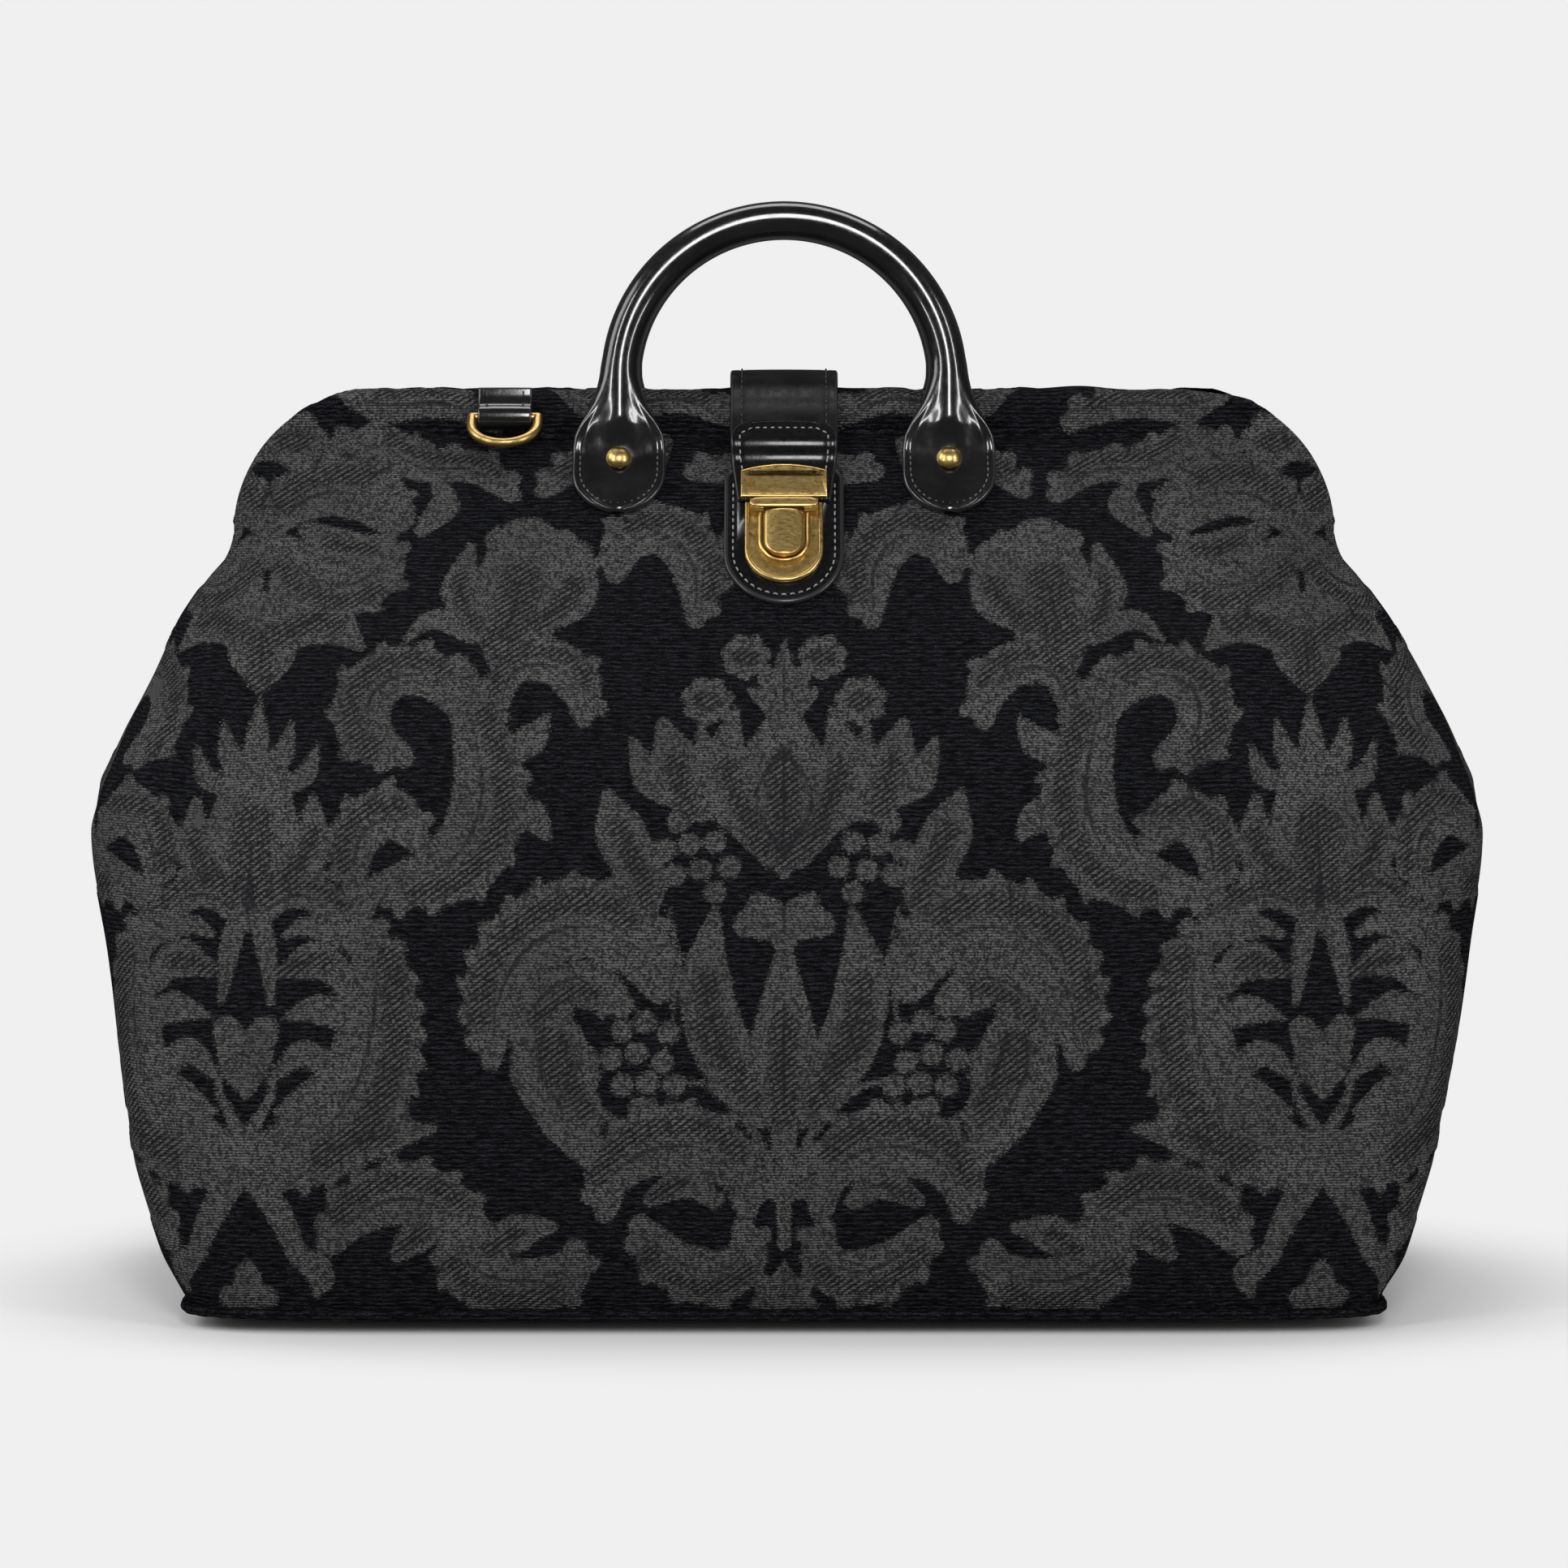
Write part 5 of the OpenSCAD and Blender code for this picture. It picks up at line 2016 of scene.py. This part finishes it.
    def patch(self) -> list[Piece]:
        """The leather patch under the lock, with a painted edge that partly holds a painted highlight, and a
        row of stitches.

        Returns:
            The patch and its stitches.
        """
        outline = self.plate_outline(self.patch_w, self.patch_low, self.patch_high, 5.0)
        profile = [(0.5, 0.2), (0.0, 0.6), (0.0, 1.6), (0.35, 2.05), (0.9, 2.2), (2.6, 2.2), (3.3, 2.0),
                   (4.0, 2.2), (8.0, 2.25), (14.0, 2.25)]
        points, faces = self.slab(outline, profile)
        painted = np.arange(len(profile)) < 5
        edge = np.repeat(painted.astype(float), len(outline))
        piece = make_piece("lock_patch_leather", points, faces, POLISHED_LEATHER, {"edge": edge}, flip=True)
        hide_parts("lock_patch")
        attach(piece, "front_frame")
        seam = 3.3
        line = resample(self.bow(self.patch_w / 2 - seam, seam + self.patch_low, 24.0), 160)
        row = Stitching(pitch=3.0, length=2.0, radius=0.33).along(
            SLOPE.point(line[:, 0], line[:, 1], 2.1), np.repeat(SLOPE.out[None], len(line), 0))
        return [piece, dress_stitches("patch_stitches", [row], PALE_THREAD, "front_frame")]

    def lock(self) -> list[Piece]:
        """The lock: base plate with a raised rim, case with its lip, and the button.

        Returns:
            The pieces of the lock.
        """
        profile = [(0.3, 2.25), (0.0, 2.5), (0.0, 3.2), (0.5, 3.45), (4.0, 3.4)]
        base = self.slab(self.plate_outline(self.base_w, self.base_low, self.base_high), profile)
        plate = self.ride_brass("lock_plate", [base], MOTTLED_BRASS, "front_frame", ["lock_base_plate"])
        rim_r = 0.9
        outer = self.bow(self.base_w / 2 - rim_r, self.base_low + rim_r, self.base_high - 0.4)
        rim = self.rim(resample(outer, 120), 3.5, rim_r, 0.8)
        rim_piece = self.ride_brass("lock_plate_rim", [rim], BRIGHT_BRASS, "front_frame", [])
        return [plate, rim_piece, self.case(), self.button()]

    def case(self) -> Piece:
        """Raised bezel round the button with the rounded lip across its top.

        Returns:
            The bezel.
        """
        wire_r = 0.95
        bow = resample(self.bow(8.55, -12.05, 9.4), 110)
        bezel = self.rim(bow, 4.2, wire_r, 1.6)
        wall = self.rim(bow, 3.6, wire_r)
        turn = np.linspace(0, 2 * math.pi, 20, endpoint=False)
        long, high = (np.sign(w) * np.abs(w) ** p for w, p in ((np.cos(turn), 0.6), (np.sin(turn), 0.7)))
        lip = []
        for t in np.linspace(-1, 1, 41):
            end = math.sqrt(max(1 - abs(t) ** 9, 0.04))
            height = 6.9 + 0.7 * end * high + 0.25 * (1 - t * t)
            lip.append(SLOPE.point(12.2 * t, 11.75 + 2.1 * end * long, height))
        parts = [bezel, wall, loft(np.stack(lip))]
        for hand in (-1, 1):
            post = self.box_outline(hand * 11.3, 0.9, 9.6, 13.8)
            parts.append(self.slab(post, [(0.0, 3.3), (0.0, 6.4)]))
            link = self.box_outline(hand * 9.4, 2.2, 8.0, 10.2)
            parts.append(self.slab(link, [(0.0, 3.3), (0.0, 5.2), (0.3, 6.9)]))
        return self.ride_brass("lock_bezel", parts, BRIGHT_BRASS, "front_frame", ["lock_case"])

    def button(self) -> Piece:
        """Push button, crowned across its width and hollow underneath where the spring sits.

        Returns:
            The button.
        """
        half, low, high, foot = 7.25, -11.0, 9.2, 4.9
        across = np.linspace(-1, 1, 33)
        rows, hollow = [], []
        for v in np.linspace(low, high, 44):
            r = half if v > low + half else math.sqrt(max(half**2 - (low + half - v) ** 2, 0.16))
            x = r * across
            edge = np.minimum(r - np.abs(x), min(v - low, high - v))
            crown = (2.75 - x**2 / 30.0) * (0.35 + 0.65 * quarter_round(edge / 0.8))
            rows.append(SLOPE.point(x, v, foot + crown))
            hollow.append(SLOPE.point(x, v, foot + 1.25 * np.clip((edge - 0.9) / 0.5, 0, 1)))
        top, under = np.stack(rows), np.stack(hollow)
        sections = np.concatenate([top, under[:, ::-1][:, 1:-1]], axis=1)
        return self.ride_brass("lock_push", [loft(sections)], BRIGHT_BRASS, "button", ["lock_button"])

    def tongue(self) -> list[Piece]:
        """Brass plate across the end of the tab, with an arched top, bright rims and the blade.

        Returns:
            The plate and its rims.
        """
        half = self.tongue_w / 2
        x = np.linspace(half, -half, 41)
        arch = self.tongue_high + 2.6 * (1 - (x / half) ** 2)
        foot = [[-half, self.tongue_low], [half, self.tongue_low]]
        outline = np.vstack([np.stack([x, arch], axis=1), foot])
        plate = self.slab(outline, [(0.0, 4.75), (0.0, 5.6), (0.35, 5.85), (3.0, 5.85)])
        piece = self.ride_brass("tongue_face", [plate], MOTTLED_BRASS, "strap", ["tongue_plate"])
        inset = 0.3
        low = np.array([[half - inset, self.tongue_low + inset], [-half + inset, self.tongue_low + inset]])
        top = np.stack([x * 0.98, arch - inset], axis=1)
        rims = [self.rim(resample(low, 30), 5.85, 0.5), self.rim(top, 5.8, 0.35)]
        rims.append(self.slab(self.box_outline(0.0, 9.0, 12.9, 16.0), [(0.0, 4.1), (0.0, 4.7)]))
        rim_piece = self.ride_brass("tongue_rims", rims, BRIGHT_BRASS, "strap", [])
        return [piece, rim_piece]

    def ride_brass(self, name: str, parts: Sequence[Mesh], brass: AntiqueBrass, body: str,
                   nodes: Sequence[str]) -> Piece:
        """Makes a brass piece that rides on a body.

        Args:
            name: The piece's name.
            parts: Its solids.
            brass: Its finish.
            body: The body.
            nodes: CAD nodes that it stands for.

        Returns:
            The piece.
        """
        points, faces = joined(parts)
        piece = make_piece(name, points, faces, brass)
        mend_normals(piece)
        if nodes:
            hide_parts(*nodes)
        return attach(piece, body)

    def build(self) -> list[Piece]:
        """Makes the whole closure."""
        return self.strap() + self.tab() + self.patch() + self.lock() + self.tongue()


def mend_normals(piece: Piece) -> None:
    """Turns all faces outwards and keeps edges over 40 degrees crisp.

    Args:
        piece: The piece.
    """
    work = bmesh.new()
    work.from_mesh(piece.data)
    bmesh.ops.recalc_face_normals(work, faces=work.faces[:])
    for edge in work.edges:
        edge.smooth = not (edge.is_manifold and edge.calc_face_angle(0.0) > math.radians(40))
    work.to_mesh(piece.data)
    work.free()


@dataclass
class RingLoop:
    """The leather loop that holds a D-ring.

    Attributes:
        side: The half that it is on.
        ring_x: Distance of the ring from the middle.
        bar_y: Depth of the ring's bar.
        bar_z: Its level.
        width: Width of the loop.
    """

    side: Side
    ring_x: float = 101.0
    bar_y: float = 18.3
    bar_z: float = 319.5
    width: float = 19.6

    def build(self) -> list[Piece]:
        """Makes the loop and its two short rows of stitches.

        Returns:
            The loop and its stitches.
        """
        y, z = -self.bar_y, self.bar_z
        shape = [(3.2, 10.6), (2.2, 7.0), (0.2, 4.0), (-2.3, 2.6), (-3.4, 0.4), (-3.1, -1.8), (-1.6, -3.2),
                 (0.6, -3.5), (3.0, -2.6)]
        path = [(y + dy, z + dz) for dy, dz in shape]
        band = LeatherBand(path, lambda s: np.full_like(s, self.width), 1.6, crown=0.2)
        points, faces, edge = band.mesh()
        line, out, _ = band.frames()
        k = int(len(line) * 0.16)
        keep = slice(max(k - 6, 0), k + 10)
        way = np.c_[np.zeros(len(out)), out][keep]
        stitch = Stitching(pitch=3.6, length=2.8, radius=0.35)
        rows = []
        for hand in (-1, 1):
            x = hand * (self.width / 2 - 3.2)
            row = np.c_[np.full(len(line), x), line + out * 0.95][keep]
            rows.append(stitch.along(row, way))
        thread, thread_faces = joined(rows)
        shift = np.array([-self.ring_x, 0.0, 0.0])
        turn = np.array([self.side.value, self.side.value, 1.0])
        word = self.side.word
        piece = make_piece(f"{word}_ring_leather", (points + shift) * turn, faces, GLOSSY_LEATHER,
                           {"edge": edge})
        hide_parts(f"{word}_ring_loop")
        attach(piece, f"{word}_frame")
        stitches = make_piece(f"{word}_ring_stitches", (thread + shift) * turn, thread_faces, DARK_THREAD)
        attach(stitches, f"{word}_frame")
        return [piece, stitches]


# ---------------------------------------------------------------- carried-over nodes and stage


@dataclass
class MetalAndBoard:
    """CAD nodes that keep their shape and get their finish.

    Attributes:
        finishes: Finish of each node.
    """

    finishes: dict[str, Finish] = field(default_factory=lambda: {
        "bottom_panel": PLAIN_CLOTH, "bottom_board": BOARD, "lining_floor": LINING, "feet": WORN_BRASS,
        "foot_washers": WORN_BRASS, "front_frame_bar": STEEL, "back_frame_bar": STEEL, "hinge_pins": STEEL,
        "front_rivet_burrs": WORN_BRASS, "back_rivet_burrs": WORN_BRASS, "front_grip_core": ROPE,
        "back_grip_core": ROPE, "lock_spring": STEEL, "lock_rivets": BRIGHT_BRASS, "lock_back_plate": STEEL,
        "strap_anchor_rivets": BRIGHT_BRASS, "tab_rivets": BRIGHT_BRASS, "front_d_ring": WORN_BRASS,
        "back_d_ring": WORN_BRASS})

    def dress(self) -> None:
        """Puts each node's finish on it."""
        for node, finish in self.finishes.items():
            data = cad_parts[node].data
            data.materials.clear()
            data.materials.append(finish.material())


@dataclass
class Studio:
    """Pale floor and backdrop, soft lights and the camera.

    Attributes:
        distance: Distance of the camera from the middle of the bag, in metres.
        elevation: How far it looks down, in degrees.
        aim_z: Level that the middle of the view meets at the front feet, in metres.
        focal: Focal length, in millimetres.
        feet_y: Distance of the front feet from the middle, in metres.
        lamp_aim_z: Level that the lamps face, in metres.
        world_power: Strength of the pale world.
        mirrored_share: Share of it that leather and metal mirror.
    """

    distance: float = 1.75
    elevation: float = 4.0
    aim_z: float = 0.1903
    focal: float = 109.5
    feet_y: float = 0.074
    lamp_aim_z: float = 0.18
    world_power: float = 0.5
    mirrored_share: float = 0.12

    def sweep(self) -> None:
        """Floor that curves up into a backdrop."""
        half, back, round_r = 4.0, 1.6, 0.8
        profile = [(-half, 0.0), (back, 0.0)]
        bend = np.linspace(0.1, math.pi / 2, 14)
        profile += [(back + round_r * math.sin(a), round_r - round_r * math.cos(a)) for a in bend]
        profile += [(back + round_r, half)]
        points = np.array([(x, y, z) for y, z in profile for x in (-half, half)]) / MM
        mesh = make_piece("studio_floor", points, grid_faces(len(profile), 2), StudioPaper("studio_paper"))

    def lights(self) -> None:
        """Tall soft lamps at both sides, a soft one above, and a pale world that metal hardly sees."""
        self.lamp("lamp_front", (0.12, -2.25, 1.35), (0.42, 1.0), 24.0)
        self.lamp("lamp_left", (-1.35, -1.35, 1.0), (0.16, 1.5), 12.0)
        self.lamp("lamp_left_fill", (-2.0, -0.3, 1.4), (0.9, 1.4), 14.0)
        self.lamp("lamp_right", (1.4, -1.25, 0.9), (0.14, 1.5), 11.0)
        self.lamp("lamp_top", (0.0, 0.5, 2.2), (1.8, 0.8), 16.0)
        world = bpy.data.worlds.new("studio_world")
        world.use_nodes = True
        tree = world.node_tree
        pale = tree.nodes["Background"]
        pale.inputs[0].default_value = (1.0, 1.0, 1.0, 1.0)
        path = tree.nodes.new("ShaderNodeLightPath")
        ramp = tree.nodes.new("ShaderNodeMapRange")
        ramp.inputs[3].default_value = self.world_power
        ramp.inputs[4].default_value = self.world_power * self.mirrored_share
        tree.links.new(path.outputs["Is Glossy Ray"], ramp.inputs[0])
        tree.links.new(ramp.outputs[0], pale.inputs[1])
        bpy.context.scene.world = world

    def lamp(self, name: str, place: tuple[float, float, float], size: tuple[float, float],
             power: float) -> None:
        """One rectangular area lamp that faces the bag.

        Args:
            name: The lamp's name.
            place: Where it stands, in metres.
            size: Its width and height, in metres.
            power: Its power, in watts.
        """
        data = bpy.data.lights.new(name, "AREA")
        data.shape = "RECTANGLE"
        data.size, data.size_y = size
        data.energy = power
        lamp = bpy.data.objects.new(name, data)
        lamp.location = place
        away = Vector((0.0, 0.0, self.lamp_aim_z)) - lamp.location
        lamp.rotation_euler = away.to_track_quat("-Z", "Y").to_euler()
        bpy.context.scene.collection.objects.link(lamp)

    def camera(self) -> None:
        """Camera a little above the middle, looking slightly down."""
        data = bpy.data.cameras.new("studio_camera")
        data.lens = self.focal
        data.sensor_width = 36.0
        camera = bpy.data.objects.new("studio_camera", data)
        rise = math.tan(math.radians(self.elevation)) * (self.distance - self.feet_y)
        camera.location = (0.0, -self.distance, self.aim_z + rise)
        camera.rotation_euler = (math.radians(90.0 - self.elevation), 0.0, 0.0)
        bpy.context.scene.collection.objects.link(camera)
        bpy.context.scene.camera = camera

    def build(self) -> None:
        """Makes the whole studio."""
        self.camera()
        self.sweep()
        self.lights()
        bpy.context.scene.view_settings.view_transform = "Standard"


@dataclass(frozen=True)
class StudioPaper(Finish):
    """Pale seamless paper: lit round the object, and of one even tone to the eye further out.

    Attributes:
        tone: How bright it looks.
        lit: Its own colour, which looks as bright as the tone where no shadow falls.
        mirrored_tone: How bright it looks in polished leather and metal.
    """

    tone: float = 0.868
    lit: float = 0.7
    mirrored_tone: float = 0.08

    def recipe(self) -> Recipe:
        """Builds matt paper with a faint mottle.

        Returns:
            The finished recipe.
        """
        r = Recipe(self.name)
        mottle = r.noise(r.place((1.0, 1.0, 1.0)), 6.0, 2.0)
        paper = r.mix(mottle, (self.lit * 0.99,) * 3, (self.lit * 1.01,) * 3)
        r.set(Base_Color=paper, Roughness=0.9, Specular_IOR_Level=0.0)
        far = r.fill(r.node("ShaderNodeVectorMath", operation="LENGTH"), r.place((1.0, 1.5, 1.0)))
        even = r.fill(r.node("ShaderNodeEmission"), (self.tone,) * 3 + (1.0,))
        path = r.node("ShaderNodeLightPath")
        away = r.math("MULTIPLY", path.outputs["Is Camera Ray"], r.ramp(far.outputs["Value"], 0.235, 0.36))
        mix = r.fill(r.node("ShaderNodeMixShader"), away, r.shader.outputs[0], even.outputs[0])
        dull = r.fill(r.node("ShaderNodeEmission"), (self.mirrored_tone,) * 3 + (1.0,))
        dim = r.fill(r.node("ShaderNodeMixShader"), path.outputs["Is Glossy Ray"], mix.outputs[0],
                     dull.outputs[0])
        r.put(r.tree.nodes["Material Output"].inputs[0], dim.outputs[0])
        return r


def main() -> None:
    """Builds every piece in order and reports it."""
    logging.basicConfig(level=logging.INFO, format="%(message)s")
    form = BagForm()
    Studio().build()
    pattern = Damask()
    LOG.info("pattern covers %.0f %% of the cloth", 100 * float((pattern.shape < 0).mean()))
    for side in Side:
        LOG.info("made %s", ClothPanel(side, form, pattern).build().name)
        LOG.info("made %s", Lining(side, form).build().name)
        LOG.info("made %s", MouthFacing(side, form).build().name)
        for piece in Handle(side).build() + RingLoop(side).build():
            LOG.info("made %s", piece.name)
    LOG.info("made %s", BottomWelt(form).build().name)
    for piece in Closure().build():
        LOG.info("made %s", piece.name)
    MetalAndBoard().dress()


if __name__ == "__main__":
    main()
